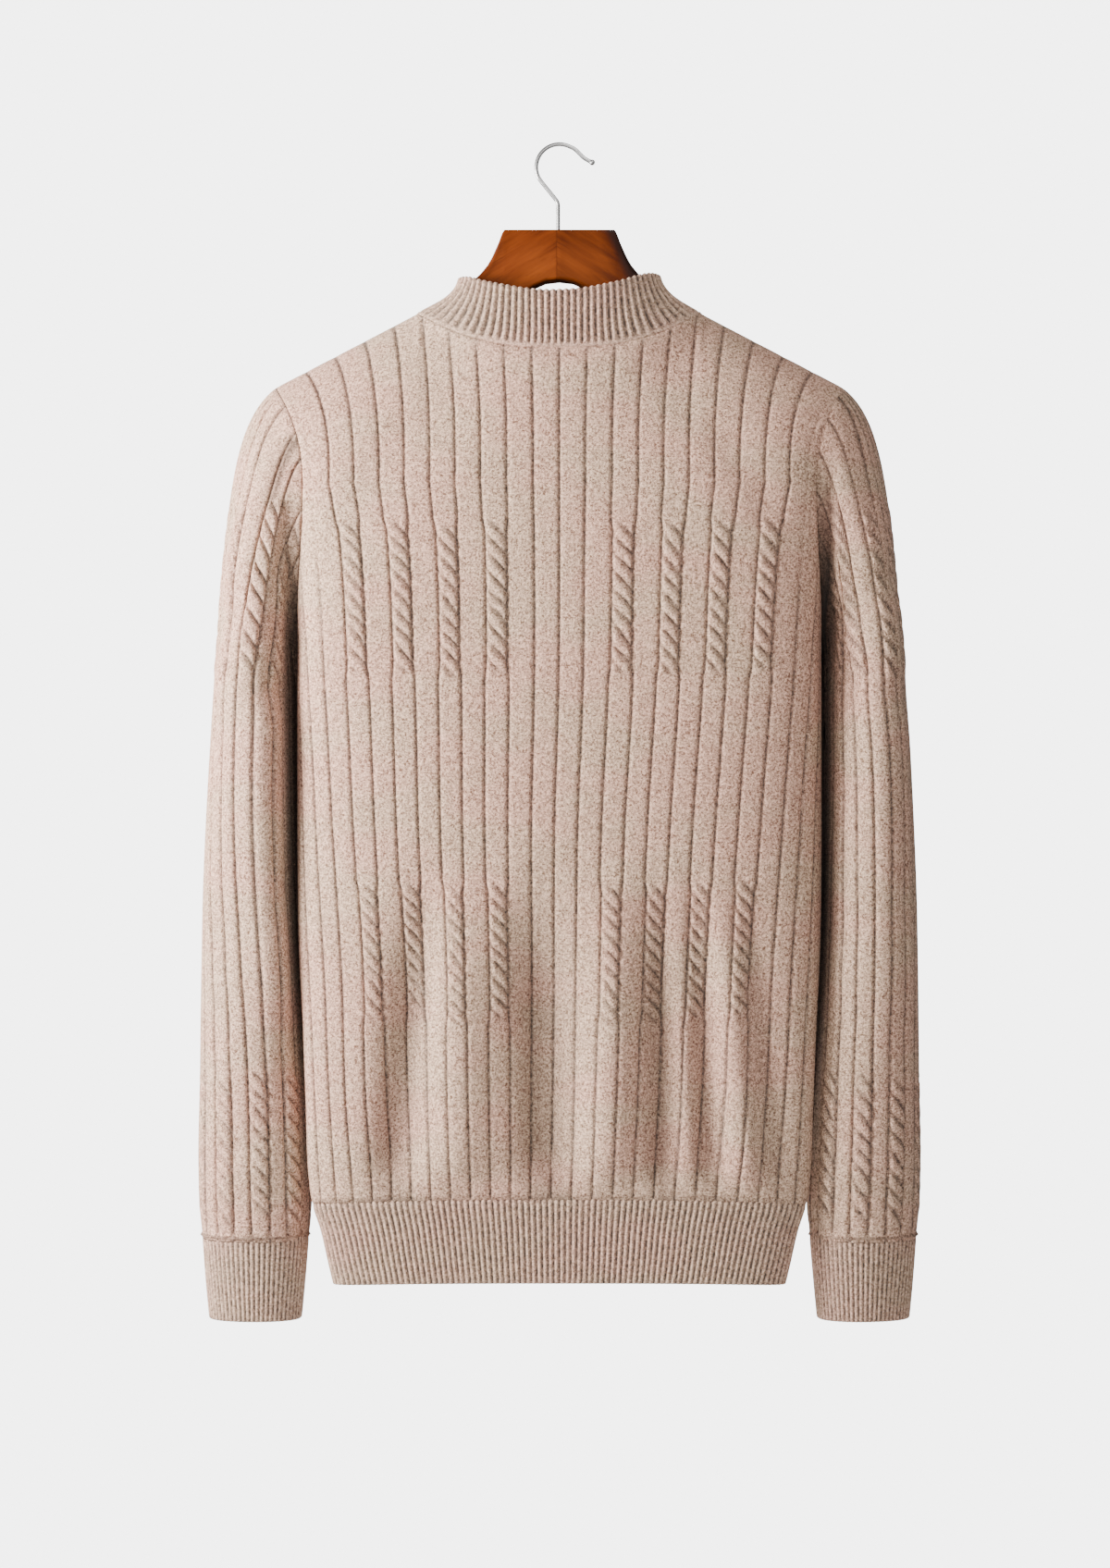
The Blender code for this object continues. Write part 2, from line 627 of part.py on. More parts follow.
def main():
    for old in list(bpy.data.objects):
        bpy.data.objects.remove(old, do_unlink=True)
    pieces = garment_pieces()
    seams = shared_seams(pieces)
    for piece in pieces:
        outer, inner = wall_skins(piece, seams)
        vertices, faces = wall_mesh(piece, outer, inner)
        ribbed = piece.wall > PANEL_WALL
        add_object(piece.name, vertices, faces, RIB_WOOL if ribbed else WOOL, 0.9)
    add_hanger()
    add_hook()


main()
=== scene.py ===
"""Mock neck sweater on a wooden hanger: its dressed pieces, the studio and the camera."""

import logging
import math
from collections.abc import Sequence
from dataclasses import dataclass, field
from enum import Enum
from typing import NamedTuple

import bpy
import numpy as np
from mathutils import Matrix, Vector


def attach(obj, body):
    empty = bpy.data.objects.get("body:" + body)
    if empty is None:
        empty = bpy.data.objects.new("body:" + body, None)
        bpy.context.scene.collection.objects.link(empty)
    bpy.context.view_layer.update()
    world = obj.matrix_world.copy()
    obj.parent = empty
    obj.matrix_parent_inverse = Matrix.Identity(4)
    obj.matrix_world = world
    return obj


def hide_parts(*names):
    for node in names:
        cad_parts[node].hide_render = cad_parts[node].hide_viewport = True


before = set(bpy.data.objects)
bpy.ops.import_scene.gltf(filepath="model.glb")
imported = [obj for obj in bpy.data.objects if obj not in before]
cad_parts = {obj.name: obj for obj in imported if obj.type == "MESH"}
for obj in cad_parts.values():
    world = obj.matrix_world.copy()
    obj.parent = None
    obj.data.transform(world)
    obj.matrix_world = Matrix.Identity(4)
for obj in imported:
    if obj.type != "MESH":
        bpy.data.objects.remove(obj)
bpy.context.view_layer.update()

LOG = logging.getLogger("sweater")
Grid = np.ndarray


class Hold(Enum):
    """How a piece of cloth is held."""

    HUNG = "hung"


class Side(Enum):
    """A side of the garment, as someone who faces its shown side sees it."""

    LEFT = "left"
    RIGHT = "right"


class Face(Enum):
    """A face of the garment."""

    FRONT = "front"
    BACK = "back"


# ---------------------------------------------------------------- measures and curves


def unit(vectors: Grid) -> Grid:
    """Scales vectors to length 1."""
    return vectors / np.maximum(np.linalg.norm(vectors, axis=-1, keepdims=True), 1e-12)


def smooth_step(value: Grid) -> Grid:
    """Eases a value from 0 to 1."""
    t = np.clip(value, 0.0, 1.0)
    return t * t * (3 - 2 * t)


def bump(at: Grid, middle: float, width: float) -> Grid:
    """A soft hill of height 1 at its middle."""
    return np.exp(-(((at - middle) / width) ** 2))


def bezier(first: Grid, second: Grid, third: Grid, last: Grid, t: Grid) -> Grid:
    """Points at t on a cubic curve between first and last.

    Args:
        first: the point at 0.
        second: the first handle.
        third: the second handle.
        last: the point at 1.
        t: places from 0 to 1.

    Returns:
        One point a row.
    """
    return (
        (1 - t) ** 3 * first
        + 3 * (1 - t) ** 2 * t * second
        + 3 * (1 - t) * t * t * third
        + t**3 * last
    )


def run_length(points: Grid) -> Grid:
    """The length along a line of points, from 0 at its start."""
    steps = np.linalg.norm(np.diff(points, axis=0), axis=1)
    return np.concatenate([[0.0], np.cumsum(steps)])


def wander(seed: int, at: Grid, step: float) -> Grid:
    """A smooth seeded wander between -1 and 1, with a new value at every step.

    Args:
        seed: the seed.
        at: places along the wander.
        step: the distance between new values.

    Returns:
        One value for each place.
    """
    values = np.random.default_rng(seed).uniform(-1, 1, 257)
    place = np.asarray(at) / step
    cell = np.floor(place).astype(int)
    blend = smooth_step(place - cell)
    return values[cell % 256] * (1 - blend) + values[(cell + 1) % 256] * blend


class Curve:
    """A smooth curve through named stations."""

    def __init__(self, at: Sequence[float], value: Sequence[float]) -> None:
        """Keeps the stations and works out the slope at each.

        Args:
            at: the stations, rising.
            value: the value at each.
        """
        self.at = np.array(at, float)
        self.value = np.array(value, float)
        self.slope = np.gradient(self.value, self.at)

    def __call__(self, where: float | Grid) -> Grid:
        """The curve's value at a place, held level past its ends.

        Args:
            where: one place or many.

        Returns:
            One value for each place.
        """
        place, value, slope = self.at, self.value, self.slope
        where = np.clip(where, place[0], place[-1])
        i = np.clip(np.searchsorted(place, where) - 1, 0, len(place) - 2)
        span = place[i + 1] - place[i]
        t = (where - place[i]) / span
        start = (1 + 2 * t) * (1 - t) ** 2 * value[i] + t * (1 - t) ** 2 * span * slope[i]
        end = t * t * (3 - 2 * t) * value[i + 1] + t * t * (t - 1) * span * slope[i + 1]
        return start + end


class BodyLevel(NamedTuple):
    """Half a section of the body at a height."""

    height: float
    half_width: float
    front_depth: float
    back_depth: float
    seam_y: float
    side_sag: float
    front_squareness: float
    back_squareness: float


class SleeveLevel(NamedTuple):
    """A section of the sleeve at a height."""

    height: float
    outer_x: float
    inner_x: float
    centre_y: float
    half_depth: float


class Fold(NamedTuple):
    """A fold of the hanging cloth: its middle, its width, how far it stands out, and its slant."""

    at: float
    width: float
    height: float
    slant: float


class ColumnFold(NamedTuple):
    """A fold along a sleeve's columns; below says how much of it goes on under the cables."""

    at: float
    width: float
    height: float
    below: float


def level_curves(levels: Sequence[NamedTuple]) -> dict[str, Curve]:
    """One smooth curve for each measure of a table of levels.

    Args:
        levels: rows of one NamedTuple class, the height or other place first.

    Returns:
        The curves by the measure's name.
    """
    table = np.array(levels, float)
    names = levels[0]._fields
    return {name: Curve(table[:, 0], table[:, i]) for i, name in enumerate(names)}


# ---------------------------------------------------------------- the garment's form


@dataclass
class TrunkForm:
    """The front and back as they hang: sections from the hem up to the shoulders."""

    levels: tuple[BodyLevel, ...] = (
        BodyLevel(-0.8265, 0.1645, 0.0300, 0.0310, -0.004, 0.0035, 3.4, 2.8),
        BodyLevel(-0.8110, 0.1680, 0.0315, 0.0325, -0.004, 0.0040, 3.4, 2.8),
        BodyLevel(-0.7840, 0.1738, 0.0345, 0.0350, -0.005, 0.0055, 3.4, 2.8),
        BodyLevel(-0.7650, 0.1795, 0.0372, 0.0380, -0.007, 0.0060, 3.4, 2.8),
        BodyLevel(-0.7450, 0.1820, 0.0390, 0.0400, -0.010, 0.0045, 3.4, 2.8),
        BodyLevel(-0.7000, 0.1838, 0.0415, 0.0420, -0.012, 0.0000, 3.4, 2.8),
        BodyLevel(-0.6500, 0.1857, 0.0440, 0.0440, -0.012, 0.0000, 3.4, 2.8),
        BodyLevel(-0.5800, 0.1890, 0.0470, 0.0480, -0.012, 0.0000, 3.4, 2.8),
        BodyLevel(-0.5200, 0.1898, 0.0520, 0.0520, -0.012, 0.0000, 3.4, 2.8),
        BodyLevel(-0.4600, 0.1898, 0.0575, 0.0570, -0.012, 0.0000, 3.5, 2.9),
        BodyLevel(-0.4000, 0.1895, 0.0620, 0.0610, -0.010, 0.0000, 4.2, 3.5),
        BodyLevel(-0.3600, 0.1893, 0.0635, 0.0625, -0.006, 0.0000, 4.8, 4.4),
        BodyLevel(-0.3000, 0.1905, 0.0635, 0.0630, -0.006, 0.0000, 4.8, 4.4),
        BodyLevel(-0.2500, 0.1938, 0.0605, 0.0600, -0.006, 0.0000, 4.8, 4.4),
    )
    hem_bottom: float = -0.8265
    hem_top: float = -0.7650
    underarm: float = -0.3600
    yoke: float = -0.2500
    armhole_y: dict[Face, float] = field(
        default_factory=lambda: {Face.FRONT: -0.0455, Face.BACK: 0.0480}
    )
    shoulder_point: tuple[float, float, float] = (0.2065, 0.0, -0.1763)
    rise_handle: float = 0.046
    ridge_handle: float = 0.030
    neck_handle: float = 0.030
    neck_half_width: float = 0.1045
    neck_point_height: float = -0.1229
    neck_middle: dict[Face, tuple[float, float]] = field(
        default_factory=lambda: {Face.FRONT: (-0.0466, -0.1525), Face.BACK: (0.0460, -0.1420)}
    )
    neck_roundness: float = 2.3
    neck_sweep: float = 2.5
    neck_share: float = 0.522

    def __post_init__(self) -> None:
        """Prepares the curves of the sections."""
        self.curves = level_curves(self.levels)

    def quarter(self, face: Face, height: float) -> tuple[Grid, Grid, Grid]:
        """Half a section as a fine line from the middle to the panel's edge.

        Args:
            face: front or back.
            height: the section's height.

        Returns:
            Its lengths along, x and y.
        """
        name = face.value
        half_width = float(self.curves["half_width"](height))
        side_y = float(self.curves["seam_y"](height))
        middle = float(self.curves[f"{name}_depth"](height))
        power = 2 / float(self.curves[f"{name}_squareness"](height))
        depth = middle + side_y if face is Face.FRONT else middle - side_y
        turn = smooth_step(np.linspace(0, 1, 241)) * math.pi / 2
        x = half_width * np.sin(turn) ** power
        y = depth * (1 - np.cos(turn) ** power)
        run = np.concatenate([[0], np.cumsum(np.hypot(np.diff(x), np.diff(y)))])
        end = np.interp(depth - self.armhole_reach(face, height), y, run)
        keep = np.linspace(0, end, 241)
        x, y = np.interp(keep, run, x), np.interp(keep, run, y)
        return keep, x, (y - middle if face is Face.FRONT else middle - y)

    def armhole_reach(self, face: Face, height: float) -> float:
        """How far the armhole's edge lies in front of the side seam's line, or behind it.

        Args:
            face: the panel's face.
            height: the height.

        Returns:
            A signed distance in metres.
        """
        rise = min(max((height - self.underarm) / (self.yoke - self.underarm), 0), 1)
        side_y = float(self.curves["seam_y"](self.yoke))
        return abs(self.armhole_y[face] - side_y) * math.sqrt(1 - (1 - rise) ** 2)

    def half_length(self, face: Face, height: float) -> float:
        """The length of half a section, from the middle to the panel's edge."""
        return float(self.quarter(face, height)[0][-1])

    def row(self, face: Face, height: float, shares: Grid) -> Grid:
        """Points of a panel at a height, at signed shares of the way to its edges.

        Args:
            face: the panel's face.
            height: the height.
            shares: from -1 to 1.

        Returns:
            One point for each share.
        """
        run, x, y = self.quarter(face, height)
        at = np.abs(shares) * run[-1]
        sag = float(self.curves["side_sag"](height))
        z = height - sag * np.abs(shares) ** 3
        return np.stack([np.interp(at, run, x) * np.sign(shares), np.interp(at, run, y), z], -1)

    def neckline(self, face: Face, across: Grid) -> Grid:
        """Points of the line that the collar is linked to, at x from the middle.

        Args:
            face: the panel's face.
            across: x of each point.

        Returns:
            One point for each x.
        """
        side = np.clip(np.abs(across) / self.neck_half_width, 0, 1)
        y_middle, z_middle = self.neck_middle[face]
        power = self.neck_roundness
        y = y_middle * np.clip(1 - side**power, 0, 1) ** (1 / power)
        z = z_middle + (self.neck_point_height - z_middle) * side**self.neck_sweep
        return np.stack([across, y, z], axis=-1)

    def top_edge(self, face: Face, shares: Grid) -> Grid:
        """Points of the neckline and the shoulder seams.

        Args:
            face: the panel's face.
            shares: from -1 to 1.

        Returns:
            One point for each share.
        """
        share = np.abs(shares)
        beyond = np.clip((share - self.neck_share) / (1 - self.neck_share), 0, 1)
        across = self.neck_half_width * np.clip(share / self.neck_share, 0, 1)
        points = self.neckline(face, across)
        wide = across + (self.shoulder_point[0] - self.neck_half_width) * beyond
        points[:, 0] = wide * np.sign(shares)
        points[:, 2] += (self.shoulder_point[2] - self.neck_point_height) * beyond
        return points

    def yoke_row(self, face: Face, rise: float, shares: Grid) -> Grid:
        """Points of a panel above the yoke's height, rise 0 to 1 up to its top edge.

        Args:
            face: the panel's face.
            rise: from 0 to 1.
            shares: from -1 to 1.

        Returns:
            One point for each share.
        """
        start = self.row(face, self.yoke, shares)
        below = self.row(face, self.yoke - 0.01, shares)
        end = self.top_edge(face, shares)
        toward = -1 if face is Face.FRONT else 1
        reach = np.abs(end[:, 1])
        neck = smooth_step(reach / abs(self.neck_middle[face][0]))
        arriving = end.copy()
        pull = reach + 0.16 * self.neck_handle - self.ridge_handle
        arriving[:, 1] = toward * (self.ridge_handle + pull * neck)
        arriving[:, 2] -= self.neck_handle * neck + 0.12 * self.ridge_handle * (1 - neck)
        leaving = start + (start - below) / 0.01 * self.rise_handle
        return bezier(start, leaving, arriving, end, rise)

    def armhole(self, face: Face) -> Grid:
        """The right armhole's line from the shoulder point to the underarm.

        Args:
            face: the panel's face.

        Returns:
            One point a row.
        """
        one = np.array([1.0])
        swing = np.radians(np.linspace(0, 90, 40))
        heights = self.underarm + (self.yoke - self.underarm) * (1 - np.cos(swing))
        low = [self.row(face, h, one)[0] for h in heights]
        high = [self.yoke_row(face, r, one)[0] for r in np.linspace(0, 1, 40)[1:]]
        return np.array((low + high)[::-1])


@dataclass
class SleeveForm:
    """A sleeve as it hangs: sections from the cuff up to the cap, and the cap's sweep."""

    trunk: TrunkForm
    turn: float
    levels: tuple[SleeveLevel, ...] = (
        SleeveLevel(-0.8570, 0.2567, 0.1892, 0.014, 0.0260),
        SleeveLevel(-0.8272, 0.2594, 0.1864, 0.014, 0.0295),
        SleeveLevel(-0.7955, 0.2617, 0.1838, 0.014, 0.0340),
        SleeveLevel(-0.7729, 0.2638, 0.1818, 0.015, 0.0380),
        SleeveLevel(-0.7457, 0.2645, 0.1820, 0.015, 0.0400),
        SleeveLevel(-0.6778, 0.2632, 0.1846, 0.015, 0.0440),
        SleeveLevel(-0.6099, 0.2621, 0.1872, 0.014, 0.0480),
        SleeveLevel(-0.5420, 0.2604, 0.1892, 0.013, 0.0520),
        SleeveLevel(-0.4877, 0.2577, 0.1900, 0.012, 0.0560),
        SleeveLevel(-0.4333, 0.2543, 0.1905, 0.011, 0.0600),
        SleeveLevel(-0.4000, 0.2520, 0.1905, 0.010, 0.0620),
    )
    cuff_bottom: float = -0.8570
    cuff_top: float = -0.7955
    cap_foot: float = -0.4000
    roundness: float = 2.15
    slope_top: float = math.radians(37)
    slope_underarm: float = math.radians(56)
    start_handle: tuple[float, float] = (0.045, 0.014)
    end_handle: tuple[float, float] = (0.130, 0.015)

    def __post_init__(self) -> None:
        """Prepares the curves of the sections and the armhole's two halves."""
        self.curves = level_curves(self.levels)
        self.loops = {face: self.trunk.armhole(face) for face in Face}
        self.runs = {face: run_length(loop) for face, loop in self.loops.items()}

    def ring(self, height: float, angles: Grid) -> Grid:
        """Points round the right sleeve; angle 0 is outside and a quarter turn is front.

        Args:
            height: the height.
            angles: angles round the sleeve.

        Returns:
            One point for each angle.
        """
        outer = float(self.curves["outer_x"](height))
        inner = float(self.curves["inner_x"](height))
        centre_y = float(self.curves["centre_y"](height))
        deep = float(self.curves["half_depth"](height))
        reach = (outer - inner) / 2
        wide = math.sqrt(reach**2 - (deep * math.sin(self.turn)) ** 2) / math.cos(self.turn)
        cos, sin = np.cos(angles), np.sin(angles)
        power = 2 / self.roundness
        x = wide * np.sign(cos) * np.abs(cos) ** power
        y = -deep * np.sign(sin) * np.abs(sin) ** power
        turned_x = x * math.cos(self.turn) - y * math.sin(self.turn)
        turned_y = x * math.sin(self.turn) + y * math.cos(self.turn)
        z = np.full(len(angles), height)
        return np.stack([(outer + inner) / 2 + turned_x, centre_y + turned_y, z], axis=-1)

    def arcs(self, height: float) -> tuple[Grid, Grid]:
        """Angles from -pi to pi, and the signed length from the front-most line to each.

        Args:
            height: the height.

        Returns:
            The angles and their lengths.
        """
        angles = np.linspace(-math.pi, math.pi, 721)
        run = run_length(self.ring(height, angles))
        return angles, np.interp(math.pi / 2, angles, run) - run

    def loop_point(self, turns: Grid) -> Grid:
        """Points of the armhole at turns from -1 to 1, 0 at the shoulder point.

        Args:
            turns: from -1 to 1.

        Returns:
            One point for each turn.
        """
        points = np.zeros((len(turns), 3))
        for face, sign in ((Face.FRONT, 1), (Face.BACK, -1)):
            run, loop = self.runs[face], self.loops[face]
            at = np.clip(turns * sign, 0, 1) * run[-1]
            found = np.stack([np.interp(at, run, loop[:, k]) for k in range(3)], -1)
            chosen = turns * sign >= 0
            points[chosen] = found[chosen]
        return points

    def cap_ring(self, drop: float, turns: Grid) -> Grid:
        """Points of the cap at turns from -1 to 1, drop 0 at the armhole to 1 at its foot.

        Args:
            drop: from 0 to 1.
            turns: from -1 to 1.

        Returns:
            One point for each turn.
        """
        angles = turns * math.pi
        foot = self.ring(self.cap_foot, angles)
        below = self.ring(self.cap_foot - 0.01, angles)
        down = np.abs(turns)[:, None]
        slope = self.slope_top + (self.slope_underarm - self.slope_top) * down**1.2
        away = np.concatenate([np.cos(slope), 0 * slope, -np.sin(slope)], axis=1)
        start = self.start_handle[0] + (self.start_handle[1] - self.start_handle[0]) * down
        end = self.end_handle[0] + (self.end_handle[1] - self.end_handle[0]) * down
        loop = self.loop_point(turns)
        return bezier(loop, loop + away * start, foot + (foot - below) / 0.01 * end, foot, drop)


# ---------------------------------------------------------------- the knit's relief


@dataclass(frozen=True)
class CableBand:
    """A band of crossings between two heights."""

    top: float
    bottom: float
    crossings: float

    def strength(self, height: Grid, shift: Grid) -> Grid:
        """1 inside the band and 0 outside it, with soft ends.

        Args:
            height: heights.
            shift: how far the band lies from its usual place.

        Returns:
            One value for each height.
        """
        up = smooth_step((self.top + shift - height) / 0.010)
        down = smooth_step((height - self.bottom - shift) / 0.010)
        return up * down

    def phase(self, height: Grid) -> Grid:
        """Crossings counted down from the band's top."""
        return (self.top - height) / (self.top - self.bottom) * self.crossings


@dataclass(frozen=True)
class ColumnKnit:
    """Flat columns between narrow grooves, with cables in every other one of a range."""

    bands: tuple[CableBand, ...]
    first: int
    last: int
    mirrored: bool
    seed: int
    lean: float = -0.85
    smooth_above: float = 0.0
    groove_depth: float = 0.0011
    groove_width: float = 0.00105
    crown: float = 0.00045
    strand: float = 0.0034
    squeeze: float = 0.075
    valley: float = 0.12

    def cell(self, column: Grid) -> Grid:
        """The column's number, counted out from the middle where the knit is mirrored."""
        number = np.floor(column)
        return np.where(number < 0, -number - 1, number) if self.mirrored else number

    def cabled(self, column: Grid) -> Grid:
        """1 in a cabled column.

        Args:
            column: column numbers.

        Returns:
            1 or 0 for each column.
        """
        cell = self.cell(column)
        within = (cell >= self.first) & (cell <= self.last)
        return (within & ((cell - self.first) % 2 == 0)).astype(float)

    def relief(self, column: Grid, height: Grid, pitch: Grid) -> tuple[Grid, Grid]:
        """How far the cloth stands out, and the shade painted into its grooves and between the cable strands.

        Args:
            column: the column coordinate, whole numbers at the grooves.
            height: the height along the wale.
            pitch: the columns' width in metres.

        Returns:
            The relief in metres and the hollow, the painted shade, from 0 to 1.
        """
        across = 2 * (column - np.floor(column)) - 1
        from_groove = (1 - np.abs(across)) / 2 * pitch
        groove = np.exp(-((from_groove / self.groove_width) ** 2))
        if self.mirrored:
            shown = smooth_step((self.smooth_above - height) / 0.070)
            groove = groove * np.where(np.abs(column) > self.last + 1.5, shown, 1.0)
        relief = self.crown * (1 - across**4) - self.groove_depth * groove
        # painted shade in the grooves
        hollow = groove * 0.8
        own = np.floor(column)
        shift = 0.004 * wander(self.seed, own * 3.0, 1.0)
        edges = np.clip(1 - np.abs(across) ** 6, 0, 1)
        for band in self.bands:
            strength = band.strength(height, shift) * self.cabled(column)
            phase = band.phase(height - shift)
            wave = phase + self.lean * (2 / math.pi) * np.arcsin(np.clip(across, -1, 1))
            wave = wave + 0.14 * wander(self.seed + 5, own * 7.3 + phase * 0.9, 1.0)
            part = np.abs(wave - np.round(wave))
            rope = self.strand * (0.50 - (2 * part) ** 3.2) * edges
            relief = relief + rope * strength
            # painted shade between the cable's strands
            valley = np.exp(-(((0.5 - part) / self.valley) ** 2)) * edges
            deep = smooth_step((across * math.copysign(1.0, -self.lean) + 0.75) / 0.7)
            hollow = hollow + valley * strength * (0.20 + 0.65 * deep)
        return relief, np.clip(hollow, 0, 1)

    def sideways(self, column: Grid, height: Grid, pitch: Grid) -> Grid:
        """How far the cloth is drawn sideways to narrow its cabled columns.

        Args:
            column: column coordinates.
            height: heights.
            pitch: the width of a column.

        Returns:
            Distances in metres.
        """
        inside = sum(band.strength(height, 0.0) for band in self.bands)
        place = np.abs(column) if self.mirrored else column
        held = np.clip(place, self.first - 0.5, self.last + 1.5)
        pull = -self.squeeze * np.sin(math.pi * (held - self.first - 0.5))
        return pull * pitch * inside * (np.sign(column) if self.mirrored else 1)


@dataclass(frozen=True)
class RibKnit:
    """Fine upright ribs."""

    depth: float = 0.0012
    sharpness: float = 1.5

    def relief(self, rib: Grid) -> tuple[Grid, Grid]:
        """How far the ribs stand out, and the shade painted between them.

        Args:
            rib: rib coordinates.

        Returns:
            The relief in metres and the hollow, the painted shade, from 0 to 1.
        """
        wave = 0.5 + 0.5 * np.cos(2 * math.pi * rib)
        ridge = wave ** (1 / self.sharpness)
        return self.depth * (ridge - 0.75), np.clip(1 - ridge * 1.15, 0, 1)


# ---------------------------------------------------------------- cloth as a mesh


@dataclass
class ClothSkin:
    """A fine outer skin with what its finish needs at each point."""

    points: Grid
    relief: Grid
    hollow: Grid
    uv: Grid
    closed: bool
    wall: float
    shade: Grid | None = None

    def normals(self) -> Grid:
        """Outward normals of the plain form.

        Returns:
            One unit vector for each point.
        """
        p = self.points
        along = np.roll(p, -1, 1) - np.roll(p, 1, 1) if self.closed else np.gradient(p, axis=1)
        return unit(np.cross(along, np.gradient(p, axis=0)))


def cloth_object(
    name: str, skin: ClothSkin, material: bpy.types.Material, inner_rows: int
) -> bpy.types.Object:
    """Makes a wall of cloth: a fine outer skin, a plainer inner one, and its edges.

    Args:
        name: the piece's name.
        skin: the outer skin, its rows rising.
        material: the finish.
        inner_rows: every how many rows the inner skin keeps one.

    Returns:
        The piece.
    """
    rows, count = skin.points.shape[:2]
    normal = skin.normals()
    outer = skin.points + normal * skin.relief[..., None]
    kept = sorted({*range(0, rows, inner_rows), rows - 1})
    reach = edge_reach(skin, 0.008)
    thick = skin.wall * (0.5 + 0.5 * reach)
    inner = (skin.points - normal * thick[..., None])[kept]
    vertices = np.concatenate([outer.reshape(-1, 3), inner.reshape(-1, 3)])
    far = rows * count
    wrap = count if skin.closed else count - 1
    j = np.arange(wrap)
    k = (j + 1) % count
    faces: list[tuple[int, ...]] = []
    for i in range(rows - 1):
        a, b = i * count + j, i * count + k
        faces += np.stack([a, b, b + count, a + count], 1).tolist()
    for i in range(len(kept) - 1):
        a, b = far + i * count + j, far + i * count + k
        faces += np.stack([a, a + count, b + count, b], 1).tolist()
    last, far_last = (rows - 1) * count, far + (len(kept) - 1) * count
    faces += np.stack([k, j, far + j, far + k], 1).tolist()
    faces += np.stack([last + j, last + k, far_last + k, far_last + j], 1).tolist()
    if not skin.closed:
        for n, (low, high) in enumerate(zip(kept, kept[1:])):
            for edge, turned in ((0, False), (count - 1, True)):
                line = [i * count + edge for i in range(low, high + 1)]
                back = [far + (n + 1) * count + edge, far + n * count + edge]
                loop = line + back
                faces.append(tuple(loop if turned else loop[::-1]))
    # the inner skin gets a little painted shade, hollow 0.25
    hollow = np.concatenate([skin.hollow.reshape(-1), np.full(len(kept) * count, 0.25)])
    uv = np.concatenate([skin.uv.reshape(-1, 2), skin.uv[kept].reshape(-1, 2)])
    made = mesh_object(name, vertices, faces, hollow, uv, material)
    if skin.shade is not None:
        shade = np.concatenate([skin.shade.reshape(-1), skin.shade[kept].reshape(-1)])
        made.data.attributes.new("shade", "FLOAT", "POINT").data.foreach_set("value", shade)
    return made


def folded(grid: Grid, depth: Grid, closed: bool) -> Grid:
    """Moves both sides of a cloth along its normals, so that a fold keeps the wall's thickness."""
    plain = ClothSkin(grid, depth, depth, depth, closed, 0.0)
    return grid + plain.normals() * depth[..., None]


def edge_reach(skin: ClothSkin, width: float) -> Grid:
    """0 on a skin's edges, rising to 1 at a width inside them.

    Args:
        skin: the cloth.
        width: how far the edge's pull reaches, in metres.

    Returns:
        One value for each row.
    """
    p = skin.points
    rows, count = p.shape[:2]
    run = run_length(p[:, count // 2])
    reach = np.minimum(run, run[-1] - run)[:, None] * np.ones((1, count))
    if not skin.closed:
        step = np.linalg.norm(np.diff(p, axis=1), axis=2)
        across = np.concatenate([np.zeros((rows, 1)), np.cumsum(step, axis=1)], axis=1)
        reach = np.minimum(reach, np.minimum(across, across[:, -1:] - across))
    return smooth_step(reach / width)


def mesh_object(
    name: str,
    vertices: Grid,
    faces: list[tuple[int, ...]],
    hollow: Grid,
    uv: Grid,
    material: bpy.types.Material,
) -> bpy.types.Object:
    """Makes a smooth-shaded object with a UV map and a hollow value, the painted shade, at each point.

    Args:
        name: the object's name.
        vertices: one point a row.
        faces: corners of each face.
        hollow: the painted shade, one value for each point.
        uv: one pair for each point.
        material: its material.

    Returns:
        The object, in the scene.
    """
    mesh = bpy.data.meshes.new(name)
    mesh.from_pydata(vertices.tolist(), [], faces)
    corner = np.empty(len(mesh.loops), int)
    mesh.loops.foreach_get("vertex_index", corner)
    layer = mesh.uv_layers.new(name="UVMap")
    values = uv[corner]
    starts = np.empty(len(mesh.polygons), int)
    totals = np.empty(len(mesh.polygons), int)
    mesh.polygons.foreach_get("loop_start", starts)
    mesh.polygons.foreach_get("loop_total", totals)
    face_of = np.repeat(np.arange(len(starts)), totals)
    highest = np.maximum.reduceat(values[:, 0], starts)[face_of]
    whole = uv[:, 0].max() - uv[:, 0].min()
    values[:, 0] += np.where(highest - values[:, 0] > whole / 2, whole, 0)
    layer.data.foreach_set("uv", values.reshape(-1))
    mesh.attributes.new("hollow", "FLOAT", "POINT").data.foreach_set("value", hollow)
    mesh.polygons.foreach_set("use_smooth", np.ones(len(mesh.polygons), bool))
    mesh.materials.append(material)
    made = bpy.data.objects.new(name, mesh)
    bpy.context.scene.collection.objects.link(made)
    return made


BAND_EDGE = 0.0009
BAND_TUCK = 0.0018


def band_heights(bottom: float, top: float, rows: int) -> Grid:
    """Heights of a ribbed band's rows: two close ones at its edge, and one tucked under the knit."""
    even = np.linspace(bottom, top, rows)
    return np.concatenate([[bottom, bottom + BAND_EDGE], even[1:], [top + BAND_TUCK]])


def band_relief(skin: ClothSkin, depth: float, rib: Grid) -> tuple[Grid, Grid]:
    """The ribs of a band, drawn in at its edge and where it is linked.

    Args:
        skin: the band's plain form.
        depth: how far the ribs stand out.
        rib: the rib coordinate of each line.

    Returns:
        The relief in metres and the hollow, the painted shade, from 0 to 1.
    """
    relief, hollow = RibKnit(depth).relief(np.repeat(rib[None], len(skin.points), 0))
    relief = relief * (0.5 + 0.5 * edge_reach(skin, 0.003))
    relief[0] -= 0.0007
    relief[-2:] = relief[-2:] * 0.6 + np.array([[-0.0004], [-0.0016]])
    return relief, hollow


